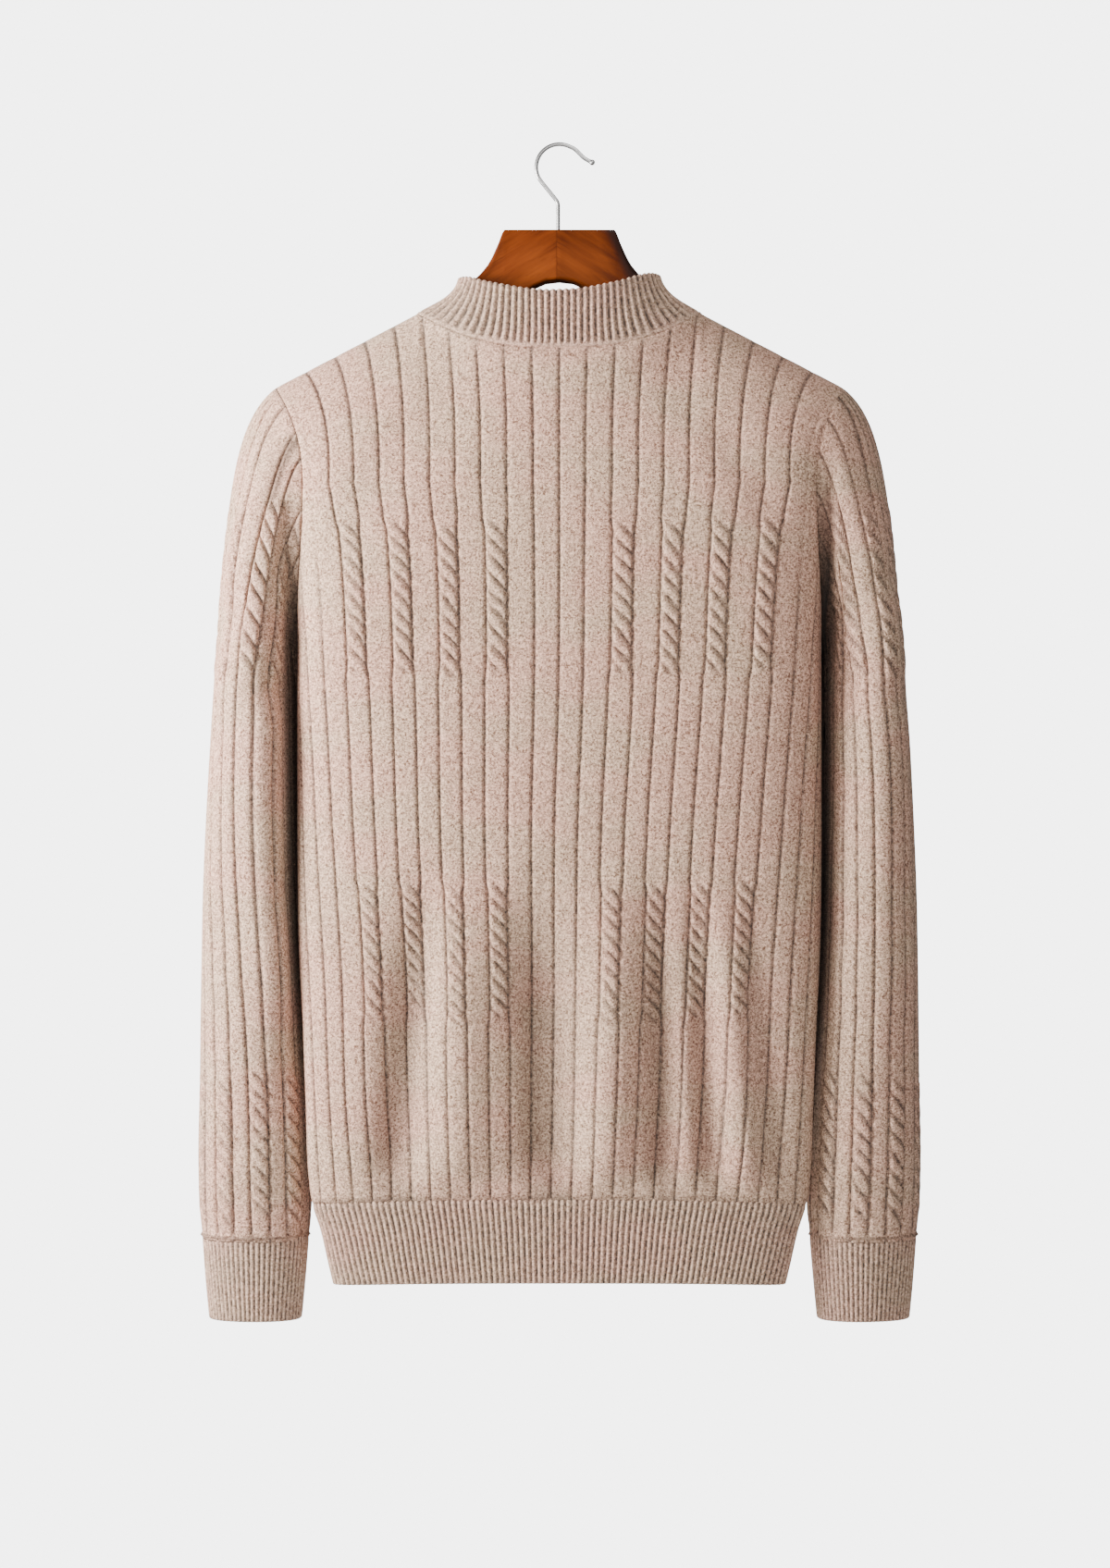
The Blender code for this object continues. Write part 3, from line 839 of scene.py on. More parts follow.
def band_uv(rib: Grid, rib_width: float, run: Grid) -> Grid:
    """The UV map of a ribbed piece, in metres along its row and up its run."""
    along = np.repeat(rib[None] * rib_width, len(run), 0)
    return np.stack([along, np.repeat(run[:, None], len(rib), 1)], -1)


# ---------------------------------------------------------------- finishes


class Nodes:
    """A small helper that adds and links shader nodes."""

    def __init__(self, tree: bpy.types.NodeTree) -> None:
        """Keeps the tree."""
        self.tree = tree

    def add(self, kind: str, inputs: dict | None = None, **settings: object) -> bpy.types.Node:
        """Adds a node with its settings and inputs, which are values or sockets.

        Args:
            kind: the node's type.
            inputs: what each input takes.

        Returns:
            The node.
        """
        node = self.tree.nodes.new(kind)
        for key, value in settings.items():
            setattr(node, key, value)
        for key, value in (inputs or {}).items():
            if isinstance(value, bpy.types.NodeSocket):
                self.tree.links.new(value, node.inputs[key])
            else:
                node.inputs[key].default_value = value
        return node

    def maths(self, operation: str, *values: object) -> bpy.types.NodeSocket:
        """The output of a Math node."""
        node = self.add("ShaderNodeMath", dict(enumerate(values)), operation=operation)
        return node.outputs[0]

    def blend(
        self, factor: object, first: object, second: object, how: str = "MIX"
    ) -> bpy.types.NodeSocket:
        """The output of a colour Mix node.

        Args:
            factor: the blend.
            first: the colour at 0.
            second: the colour at 1.
            how: the way of mixing.

        Returns:
            The mixed colour.
        """
        node = self.add("ShaderNodeMix", data_type="RGBA", blend_type=how)
        for key, value in ((0, factor), (6, first), (7, second)):
            if isinstance(value, bpy.types.NodeSocket):
                self.tree.links.new(value, node.inputs[key])
            else:
                node.inputs[key].default_value = value
        return node.outputs[2]

    def noise(
        self, vector: object, scale: float, detail: float = 2.0, roughness: float = 0.5
    ) -> bpy.types.NodeSocket:
        """The value of a noise texture."""
        inputs = {"Vector": vector, "Scale": scale, "Detail": detail, "Roughness": roughness}
        return self.add("ShaderNodeTexNoise", inputs).outputs[0]

    def spread(
        self, value: object, low: float, high: float, to_low: float = 0.0, to_high: float = 1.0
    ) -> bpy.types.NodeSocket:
        """A value moved from one range to another, and held inside it."""
        inputs = {0: value, 1: low, 2: high, 3: to_low, 4: to_high}
        return self.add("ShaderNodeMapRange", inputs).outputs[0]


def knit_group() -> bpy.types.NodeTree:
    """The shader group of melange wool: its colour and the height of its stitches.

    The hollow and shade attributes paint shade into the colour itself: in grooves, rib valleys and between
    cable strands, in the crevices beside the sleeves, at the body's sides and in deep folds.

    Returns:
        The group.
    """
    group = bpy.data.node_groups.new("melange_knit", "ShaderNodeTree")
    face = group.interface
    for name, kind, default in (
        ("Warm", "NodeSocketColor", (0.5, 0.4, 0.3, 1)),
        ("Cool", "NodeSocketColor", (0.5, 0.4, 0.3, 1)),
        ("Dark", "NodeSocketColor", (0.2, 0.15, 0.1, 1)),
        ("Stitch width", "NodeSocketFloat", 0.0016),
        ("Stitch height", "NodeSocketFloat", 0.0012),
        ("Melange", "NodeSocketFloat", 0.3),
    ):
        socket = face.new_socket(name=name, in_out="INPUT", socket_type=kind)
        socket.default_value = default
    face.new_socket(name="Colour", in_out="OUTPUT", socket_type="NodeSocketColor")
    face.new_socket(name="Height", in_out="OUTPUT", socket_type="NodeSocketFloat")
    n = Nodes(group)
    given = n.add("NodeGroupInput").outputs
    place = n.add("ShaderNodeTexCoord").outputs
    where = place["Object"]
    split = n.add("ShaderNodeSeparateXYZ", {0: place["UV"]}).outputs
    u = n.maths("DIVIDE", split[0], given["Stitch width"])
    v = n.maths("DIVIDE", split[1], given["Stitch height"])
    leg = n.maths("PINGPONG", u, 0.5)
    slanted = n.maths("ADD", v, n.maths("MULTIPLY", leg, -1.3))
    row = n.maths("PINGPONG", slanted, 0.5)
    stitch = n.maths("MULTIPLY", n.maths("SINE", n.maths("MULTIPLY", leg, 2 * math.pi)), row)
    grain = n.noise(where, 1100.0, 2.0, 0.6)
    clump = n.noise(where, 560.0, 1.0, 0.5)
    fleck = n.maths("ADD", n.maths("MULTIPLY", grain, 0.6), n.maths("MULTIPLY", clump, 0.4))
    stretched = n.add("ShaderNodeMapping", {"Vector": where, "Scale": (0.75, 0.75, 1.25)}).outputs[0]
    cloud = n.noise(stretched, 20.0, 2.0, 0.5)
    ground = n.blend(n.spread(cloud, 0.40, 0.60), given["Warm"], given["Cool"])
    hollow = n.add("ShaderNodeAttribute", attribute_name="hollow").outputs["Fac"]
    hollow = n.maths("MULTIPLY", hollow, n.spread(n.noise(where, 330.0, 1.0), 0.36, 0.58, 0.45, 1.0))
    lit = n.spread(fleck, 0.37, 0.63, -0.85, 0.80)
    speckle = n.maths("MULTIPLY", lit, given["Melange"])
    # painted shade at stitch scale: darker between the stitches, a little lighter on them
    lifted = n.spread(stitch, 0.0, 0.35, 0.90, 1.04)
    change = {
        axis: n.maths("MULTIPLY", n.maths("ADD", 1.0, n.maths("MULTIPLY", speckle, share)), lifted)
        for axis, share in enumerate((0.93, 1.0, 1.03))
    }
    shaded = n.blend(1.0, ground, n.add("ShaderNodeCombineXYZ", change).outputs[0], "MULTIPLY")
    # painted shade in the hollows, towards the Dark colour
    colour = n.blend(n.maths("MULTIPLY", hollow, 0.95), shaded, given["Dark"])
    shade = n.add("ShaderNodeAttribute", attribute_name="shade").outputs["Fac"]
    # painted shade towards near-black where the shade attribute is set
    colour = n.blend(n.maths("MULTIPLY", shade, 0.97), colour, (0.008, 0.0066, 0.0064, 1))
    height = n.maths("ADD", stitch, n.maths("MULTIPLY", fleck, 0.6))
    n.add("NodeGroupOutput", {"Colour": colour, "Height": height})
    return group


def new_material(name: str) -> tuple[bpy.types.Material, Nodes, bpy.types.Node]:
    """Starts a material.

    Args:
        name: its name.

    Returns:
        The material, a helper for its nodes, and its shader.
    """
    made = bpy.data.materials.new(name)
    made.use_nodes = True
    return made, Nodes(made.node_tree), made.node_tree.nodes["Principled BSDF"]


@dataclass(frozen=True)
class KnitFinish:
    """Melange wool."""

    name: str
    warm: tuple[float, float, float]
    cool: tuple[float, float, float]
    dark: tuple[float, float, float]
    stitch: tuple[float, float]
    melange: float

    def material(self, group: bpy.types.NodeTree) -> bpy.types.Material:
        """Builds the material.

        Args:
            group: the shader group of melange wool.

        Returns:
            The material.
        """
        made, n, shader = new_material(self.name)
        knit = n.add("ShaderNodeGroup", node_tree=group)
        for key, value in (("Warm", self.warm), ("Cool", self.cool), ("Dark", self.dark)):
            knit.inputs[key].default_value = (*value, 1)
        knit.inputs["Stitch width"].default_value = self.stitch[0]
        knit.inputs["Stitch height"].default_value = self.stitch[1]
        knit.inputs["Melange"].default_value = self.melange
        raised = {"Strength": 0.6, "Distance": 0.0007, "Height": knit.outputs["Height"]}
        bump_node = n.add("ShaderNodeBump", raised)
        made.node_tree.links.new(knit.outputs["Colour"], shader.inputs["Base Color"])
        made.node_tree.links.new(bump_node.outputs[0], shader.inputs["Normal"])
        shader.inputs["Roughness"].default_value = 0.95
        shader.inputs["Specular IOR Level"].default_value = 0.15
        shader.inputs["Sheen Weight"].default_value = 0.05
        shader.inputs["Sheen Roughness"].default_value = 0.5
        shader.inputs["Sheen Tint"].default_value = (1.0, 0.93, 0.86, 1)
        return made


@dataclass(frozen=True)
class WoodFinish:
    """Varnished red-brown wood whose grain meets in a point at the middle joint, with painted shade on its
    right half and flanks and a painted highlight low by the joint.
    """

    name: str = "varnished_wood"
    light: tuple[float, float, float] = (0.28, 0.062, 0.007)
    middle: tuple[float, float, float] = (0.115, 0.019, 0.003)
    deep: tuple[float, float, float] = (0.040, 0.007, 0.002)
    joint_x: float = -0.002
    grain_slope: float = 0.62

    def material(self) -> bpy.types.Material:
        """Builds the material.

        Returns:
            The material.
        """
        made, n, shader = new_material(self.name)
        place = n.add("ShaderNodeTexCoord").outputs["Object"]
        split = n.add("ShaderNodeSeparateXYZ", {0: place}).outputs
        side = n.maths("SUBTRACT", split[0], self.joint_x)
        away = n.maths("ABSOLUTE", side)
        across = n.maths("ADD", split[2], n.maths("MULTIPLY", away, self.grain_slope))
        along = n.maths("SUBTRACT", away, n.maths("MULTIPLY", split[2], self.grain_slope))
        board = n.maths("MULTIPLY", n.maths("SIGN", side), 3.1)
        grain_axes = {
            0: n.maths("MULTIPLY", along, 0.12),
            1: n.maths("ADD", across, board),
            2: n.maths("MULTIPLY", split[1], 0.5),
        }
        grain_at = n.add("ShaderNodeCombineXYZ", grain_axes).outputs[0]
        rings = n.noise(grain_at, 85.0, 4.0, 0.6)
        pores = n.noise(grain_at, 420.0, 3.0, 0.7)
        figure = n.noise(place, 22.0, 2.0, 0.5)
        tone = n.blend(n.spread(rings, 0.30, 0.70), (*self.deep, 1), (*self.light, 1))
        tone = n.blend(n.spread(figure, 0.35, 0.65, 0.20, 0.65), tone, (*self.middle, 1))
        tone = n.blend(n.spread(pores, 0.52, 0.70, 0.0, 0.45), tone, (*self.deep, 1))
        # painted highlight: the wood lighter low on the bar beside the joint
        joint_highlight = n.spread(n.maths("ADD", away, n.maths("MULTIPLY", split[2], -1.0)), 0.075, 0.115, 0.0, 0.60)
        joint_highlight = n.maths("MULTIPLY", joint_highlight, n.spread(away, 0.004, 0.040, 1.0, 0.0))
        tone = n.blend(joint_highlight, tone, (*self.light, 1))
        # painted shade: the right half of the bar darker, away from the light
        right_half_shade = n.spread(side, -0.002, 0.004, 0.0, 0.34)
        tone = n.blend(right_half_shade, tone, (*self.deep, 1))
        # painted shade: darker towards the bar's flanks, most on the right
        outward = n.maths("SUBTRACT", away, n.maths("MULTIPLY", n.maths("ADD", split[2], 0.0623), -0.44))
        flank_edge_shade = n.spread(outward, 0.026, 0.040, 0.0, 0.55)
        flank_edge_shade = n.maths("MULTIPLY", flank_edge_shade, n.spread(side, 0.0, 0.010, 1.0, 1.7))
        tone = n.blend(flank_edge_shade, tone, (*self.deep, 1))
        # painted shadow: the right flank near black
        right_flank_shadow = n.maths("MULTIPLY", n.spread(outward, 0.0335, 0.0385, 0.0, 0.85), n.spread(side, 0.0, 0.010))
        tone = n.blend(right_flank_shadow, tone, (0.018, 0.008, 0.006, 1))
        seam = n.spread(away, 0.0, 0.0007, 0.45, 0.0)
        tone = n.blend(seam, tone, (*self.deep, 1))
        made.node_tree.links.new(tone, shader.inputs["Base Color"])
        bump_node = n.add("ShaderNodeBump", {"Strength": 0.12, "Distance": 0.0004, "Height": pores})
        made.node_tree.links.new(bump_node.outputs[0], shader.inputs["Normal"])
        shader.inputs["Roughness"].default_value = 0.40
        shader.inputs["Specular IOR Level"].default_value = 0.05
        shader.inputs["Coat Weight"].default_value = 0.02
        shader.inputs["Coat Roughness"].default_value = 0.12
        return made


@dataclass(frozen=True)
class SteelFinish:
    """Polished wire with faint drawing marks."""

    name: str = "polished_wire"
    colour: tuple[float, float, float] = (0.42, 0.415, 0.41)

    def material(self) -> bpy.types.Material:
        """Builds the material.

        Returns:
            The material.
        """
        made, n, shader = new_material(self.name)
        place = n.add("ShaderNodeTexCoord").outputs["Object"]
        marks = n.noise(place, 160.0, 2.0, 0.5)
        dull = (*(0.92 * c for c in self.colour), 1)
        tone = n.blend(n.spread(marks, 0.3, 0.7), dull, (*self.colour, 1))
        made.node_tree.links.new(tone, shader.inputs["Base Color"])
        rough = n.spread(marks, 0.2, 0.8, 0.28, 0.33)
        made.node_tree.links.new(rough, shader.inputs["Roughness"])
        shader.inputs["Metallic"].default_value = 1.0
        return made


# ---------------------------------------------------------------- the garment's pieces


def dress(piece: bpy.types.Object, node: str) -> None:
    """Lets a piece ride on the part and stand for its solid.

    Args:
        piece: the dressed piece.
        node: the solid's name.
    """
    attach(piece, "root")
    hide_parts(node)


class ColumnLevel(NamedTuple):
    """How the columns lie across a panel at a height, in metres."""

    height: float
    pitch: float
    lead: float
    drift: float


COLUMN_LEVELS: tuple[ColumnLevel, ...] = (
    ColumnLevel(-0.765, 0.0146, 0.0000, -0.0060),
    ColumnLevel(-0.699, 0.0152, 0.0000, -0.0050),
    ColumnLevel(-0.606, 0.0154, 0.0012, -0.0040),
    ColumnLevel(-0.487, 0.0161, 0.0020, -0.0033),
    ColumnLevel(-0.408, 0.0165, 0.0030, -0.0008),
    ColumnLevel(-0.262, 0.0179, 0.0020, 0.0000),
    ColumnLevel(-0.235, 0.0185, 0.0020, 0.0000),
)


LOW_FOLDS: tuple[Fold, ...] = (
    Fold(-0.121, 0.017, -0.0120, 0.10),
    Fold(-0.074, 0.022, 0.0080, 0.02),
    Fold(-0.009, 0.020, -0.0125, -0.03),
    Fold(0.034, 0.018, 0.0080, 0.03),
    Fold(0.076, 0.013, -0.0100, -0.02),
    Fold(0.092, 0.010, 0.0030, -0.04),
    Fold(0.110, 0.012, -0.0080, -0.06),
    Fold(0.136, 0.014, 0.0050, -0.08),
    Fold(0.158, 0.013, -0.0050, -0.12),
)

CHEST_FOLDS: tuple[Fold, ...] = (Fold(-0.150, 0.020, -0.0016, 0.5), Fold(0.155, 0.018, -0.0020, -0.6))


@dataclass
class BodyPanel:
    """The front or the back: columns and two bands of cables between hem and collar."""

    face: Face
    trunk: TrunkForm
    finish: bpy.types.Material
    columns: float = 13.5
    straight: float = 9.0
    yoke_columns: float = 10.6
    last_even: float = 10.0
    crowded: float = 1.6
    top_columns: float = 10.0
    pitch: float = 0.0165
    wall: float = 0.0030
    deepest: float = -0.0022
    upper: CableBand = CableBand(-0.275, -0.391, 9.0)
    lower: CableBand = CableBand(-0.534, -0.640, 9.0)
    flat: tuple[float, float] = (0.47, 0.665)
    flat_area: float = 0.2600

    def knit(self) -> ColumnKnit:
        """The knit, with four cables either side of the middle."""
        seed = 3 if self.face is Face.FRONT else 19
        return ColumnKnit((self.upper, self.lower), 2, 8, True, seed, smooth_above=-0.285)

    def lines(self) -> Grid:
        """Line coordinates across the panel, closer at the grooves.

        Returns:
            One coordinate for each line.
        """
        steps = np.array([0, 0.030, 0.075, 0.14, 0.23, 0.33, 0.44, 0.56, 0.67, 0.77, 0.86, 0.925, 0.970])
        whole = np.arange(-14, 14)[:, None] + steps
        line = whole.reshape(-1)
        line = line[(line > -self.columns) & (line < self.columns)]
        return np.concatenate([[-self.columns], line, [self.columns]])

    def rows(self) -> list[tuple[bool, float]]:
        """Rows from the hem up: (False, height) below the yoke and (True, rise) in it.

        Returns:
            One pair for each row.
        """
        t = self.trunk
        cuts = [t.hem_top, self.lower.bottom - 0.012, self.lower.top + 0.012]
        cuts += [self.upper.bottom - 0.012, self.upper.top + 0.012, t.yoke]
        steps = (0.0050, 0.0017, 0.0055, 0.0017, 0.0040)
        heights: list[float] = []
        for low, high, step in zip(cuts, cuts[1:], steps):
            heights += np.linspace(low, high, max(2, round((high - low) / step)), endpoint=False).tolist()
        near = t.underarm + np.array([0.0006, 0.0015, 0.003])
        heights = sorted(heights + near.tolist())
        rises = np.linspace(0, 1, 25)
        return [(False, h) for h in heights] + [(True, float(r)) for r in rises]

    def column_count(self, yoke: bool, at: float) -> float:
        """How many columns half a row holds.

        Args:
            yoke: whether the row is in the yoke.
            at: its height or rise.

        Returns:
            The number of columns.
        """
        t = self.trunk
        if yoke:
            return self.yoke_columns + (self.top_columns - self.yoke_columns) * at
        if at <= t.underarm:
            return self.columns
        length = t.half_length(self.face, at)
        low, high = t.half_length(self.face, t.underarm), t.half_length(self.face, t.yoke)
        share = (low - length) / (low - high)
        return self.columns + (self.yoke_columns - self.columns) * share

    def placed(self, line: Grid, count: float) -> Grid:
        """The column coordinate of each line in a row that holds that many columns.

        Args:
            line: line coordinates.
            count: columns in half the row.

        Returns:
            One coordinate for each line.
        """
        beyond = (np.abs(line) - self.straight) / (self.columns - self.straight)
        outer = self.straight + beyond * (count - self.straight)
        return np.sign(line) * np.where(beyond > 0, outer, np.abs(line))

    def spaced(self, cell: Grid, count: float, height: float, length: float) -> tuple[Grid, Grid]:
        """Where the columns lie in a row: even in the middle and closer at the sides.

        Args:
            cell: the column coordinates.
            count: how many columns half the row holds.
            height: the row's height.
            length: the length of half the row.

        Returns:
            Each coordinate's share of the way to the edge, and the columns' width there.
        """
        level = level_curves(COLUMN_LEVELS)
        pitch, lead, drift = (float(level[name](height)) for name in ("pitch", "lead", "drift"))
        knee = min(self.last_even, count - self.crowded)
        side = np.abs(cell)
        inner = pitch * side + lead * smooth_step(side / 3)
        outer_pitch = (length - pitch * knee - lead) / (count - knee)
        place = np.where(side < knee, inner, pitch * knee + lead + (side - knee) * outer_pitch)
        share = np.sign(cell) * place / length
        return share + drift / length * (1 - share**2), np.where(side < knee, pitch, outer_pitch)

    def folds(self, points: Grid) -> Grid:
        """Soft troughs and ridges of the hanging cloth, in metres.

        Args:
            points: the plain form.

        Returns:
            One height for each point.
        """
        x, z = points[..., 0], points[..., 2]
        if self.face is Face.BACK:
            x = -x * 0.93 + 0.006
        low = smooth_step((-0.50 - z) / 0.15) * smooth_step((z + 0.797) / 0.04)
        total = np.zeros_like(x)
        for fold in LOW_FOLDS:
            total += fold.height * low * bump(x - fold.slant * (z + 0.76), fold.at, fold.width)
        high_part = smooth_step((z + 0.36) / 0.12) * smooth_step((-0.17 - z) / 0.05)
        for fold in CHEST_FOLDS:
            total += fold.height * high_part * bump(x - fold.slant * (z + 0.28), fold.at, fold.width)
        return total

    def build(self) -> bpy.types.Object:
        """Returns:
            The panel.
        """
        knit, line = self.knit(), self.lines()
        points, column, pitch = [], [], []
        for yoke, at in self.rows():
            count = self.column_count(yoke, at)
            cell = self.placed(line, count)
            height = self.trunk.yoke if yoke else at
            length = self.trunk.half_length(self.face, height)
            share, wide = self.spaced(cell, count, height, length)
            if yoke:
                share = share + (cell / count - share) * float(smooth_step(np.array(at)))
                row = self.trunk.yoke_row(self.face, at, share)
            else:
                row = self.trunk.row(self.face, at, share)
            points.append(row)
            column.append(cell)
            pitch.append(wide)
        grid, cell, pitch_at = np.array(points), np.array(column), np.array(pitch)
        if self.face is Face.BACK:
            grid = grid[:, ::-1]
        grid = self.eased(grid)
        along = unit(np.gradient(grid, axis=1))
        height = grid[:, len(line) // 2, 2][:, None] * np.ones_like(cell)
        skin = ClothSkin(grid, cell, cell, cell, False, self.wall)
        calm = edge_reach(skin, 0.004)
        grid = grid + along * (knit.sideways(cell, height, pitch_at) * calm)[..., None]
        relief, hollow = knit.relief(cell, height, pitch_at)
        relief = relief * (0.30 + 0.70 * calm) - 0.0003 * (1 - calm) ** 2
        down = np.cumsum(np.linalg.norm(np.diff(grid[::-1], axis=0), axis=2), axis=0)[::-1]
        down = np.concatenate([down, np.zeros((1, len(line)))])
        relief = relief * (0.25 + 0.75 * smooth_step(down / 0.014))
        relief = np.maximum(relief, self.deepest)
        depth = self.folds(grid)
        # painted shade: at the sides and in the troughs of the low folds
        shade = np.clip(self.side_shade(grid) + 0.45 * np.clip(-depth / 0.012, 0, 1), 0, 1)
        grid = folded(grid, depth * edge_reach(skin, 0.035), False)
        run = run_length(grid[:, len(line) // 2])
        uv = np.stack([cell * self.pitch, np.repeat(run[:, None], len(line), 1)], -1)
        done = ClothSkin(grid, relief, hollow, uv, False, self.wall, shade)
        piece = cloth_object(f"{self.face.value}_panel", done, self.finish, 8)
        dress(piece, self.face.value)
        LOG.info("%s panel: %d faces", self.face.value, len(piece.data.polygons))
        return piece

    def side_shade(self, grid: Grid) -> Grid:
        """The shade painted on the cloth at the sides, where the sleeves hang against it.

        Args:
            grid: the plain form.

        Returns:
            One value for each point.
        """
        beside = smooth_step((np.abs(grid[..., 0] + 0.001) - 0.180) / 0.012)
        top = smooth_step((-0.26 - grid[..., 2]) / 0.10)
        return 0.55 * beside * top * smooth_step((grid[..., 2] + 0.72) / 0.15)

    def eased(self, grid: Grid) -> Grid:
        """Eases the yoke's form across, so that no crease runs down from the neck points.

        Args:
            grid: the plain form.

        Returns:
            The eased form.
        """
        calm = grid.copy()
        for _ in range(60):
            calm[:, 1:-1] += 0.25 * (calm[:, 2:] + calm[:, :-2] - 2 * calm[:, 1:-1])
        normal = unit(np.cross(np.gradient(grid, axis=1), np.gradient(grid, axis=0)))
        weight = edge_reach(ClothSkin(grid, grid, grid, grid, False, 0), 0.025)[..., None]
        return grid + normal * np.sum((calm - grid) * normal, axis=2, keepdims=True) * weight


@dataclass
class HemBand:
    """The ribbed hem of the front or the back."""

    face: Face
    trunk: TrunkForm
    finish: bpy.types.Material
    ribs: int = 88
    rib_depth: float = 0.0015
    rib_width: float = 0.0042
    wall: float = 0.0032
    steps: int = 6

    def build(self) -> bpy.types.Object:
        """Returns:
            The band.
        """
        t = self.trunk
        count = self.ribs * self.steps + 1
        share = np.linspace(-1, 1, count)
        rib = np.linspace(0, self.ribs, count) + 0.5
        heights = band_heights(t.hem_bottom, t.hem_top, 15)
        grid = np.array([t.row(self.face, h, share) for h in heights])
        if self.face is Face.BACK:
            grid = grid[:, ::-1]
        skin = ClothSkin(grid, grid, grid, grid, False, self.wall)
        relief, hollow = band_relief(skin, self.rib_depth, rib)
        uv = band_uv(rib, self.rib_width, heights - heights[0])
        done = ClothSkin(grid, relief, hollow, uv, False, self.wall)
        piece = cloth_object(f"hem_band_{self.face.value}", done, self.finish, 3)
        dress(piece, f"hem_rib_{self.face.value}")
        LOG.info("hem band %s: %d faces", self.face.value, len(piece.data.polygons))
        return piece


class SewnLine(NamedTuple):
    """Where a groove of the sleeve meets the armhole's front half."""

    column: float
    height: float


SEWN_LINES: dict[Side, tuple[SewnLine, ...]] = {
    Side.LEFT: (
        SewnLine(3.0, -0.1840),
        SewnLine(2.0, -0.1925),
        SewnLine(1.0, -0.2134),
        SewnLine(0.0, -0.2321),
        SewnLine(-1.0, -0.2695),
        SewnLine(-2.4, -0.3130),
        SewnLine(-4.0, -0.3460),
    ),
    Side.RIGHT: (
        SewnLine(3.0, -0.1848),
        SewnLine(2.0, -0.2028),
        SewnLine(1.0, -0.2275),
        SewnLine(0.0, -0.2560),
        SewnLine(-1.0, -0.2880),
        SewnLine(-2.0, -0.3200),
        SewnLine(-3.0, -0.3460),
    ),
}


class Crevice(NamedTuple):
    """The deep fold between sleeve and body, where shade is painted: its top, how it deepens, its sides, how
    it pales.
    """

    top: float
    deepens: float
    full_x: float
    open_x: float
    pales: float


CREVICES: dict[Side, Crevice] = {
    Side.LEFT: Crevice(-0.238, 0.130, 0.1895, 0.2040, 0.70),
    Side.RIGHT: Crevice(-0.190, 0.150, 0.1940, 0.2005, 0.30),
}

class FrontLevel(NamedTuple):
    """The column coordinate of a sleeve's front-most line at a height."""

    height: float
    cell: float


FRONT_LINES: dict[Side, tuple[FrontLevel, ...]] = {
    Side.LEFT: (
        FrontLevel(-0.80, 1.16),
        FrontLevel(-0.68, 1.16),
        FrontLevel(-0.58, 0.83),
        FrontLevel(-0.48, 0.50),
        FrontLevel(-0.40, 0.50),
    ),
    Side.RIGHT: (
        FrontLevel(-0.80, 1.41),
        FrontLevel(-0.69, 1.41),
        FrontLevel(-0.55, 1.50),
        FrontLevel(-0.4323, 1.72),
        FrontLevel(-0.40, 1.90),
    ),
}


ELBOW_FOLDS: tuple[Fold, ...] = (
    Fold(-0.330, 0.016, -0.0022, 0.9),
    Fold(-0.385, 0.018, -0.0016, -0.7),
    Fold(-0.560, 0.022, -0.0012, 0.6),
    Fold(-0.640, 0.018, -0.0014, -0.5),
    Fold(-0.745, 0.013, 0.0012, 0.3),
)

COLUMN_FOLDS: dict[Side, tuple[ColumnFold, ...]] = {
    Side.LEFT: (
        ColumnFold(0.85, 0.40, -0.0020, 0.15),
        ColumnFold(2.1, 0.60, 0.0014, -0.9),
        ColumnFold(-0.6, 0.50, -0.0026, 0.0),
        ColumnFold(-0.75, 1.05, 0.0005, 12.0),
    ),
    Side.RIGHT: (
        ColumnFold(3.0, 0.45, -0.0006, 0.5),
        ColumnFold(1.7, 0.60, 0.0014, 0.4),
        ColumnFold(0.75, 0.45, -0.0008, 0.6),
    ),
}


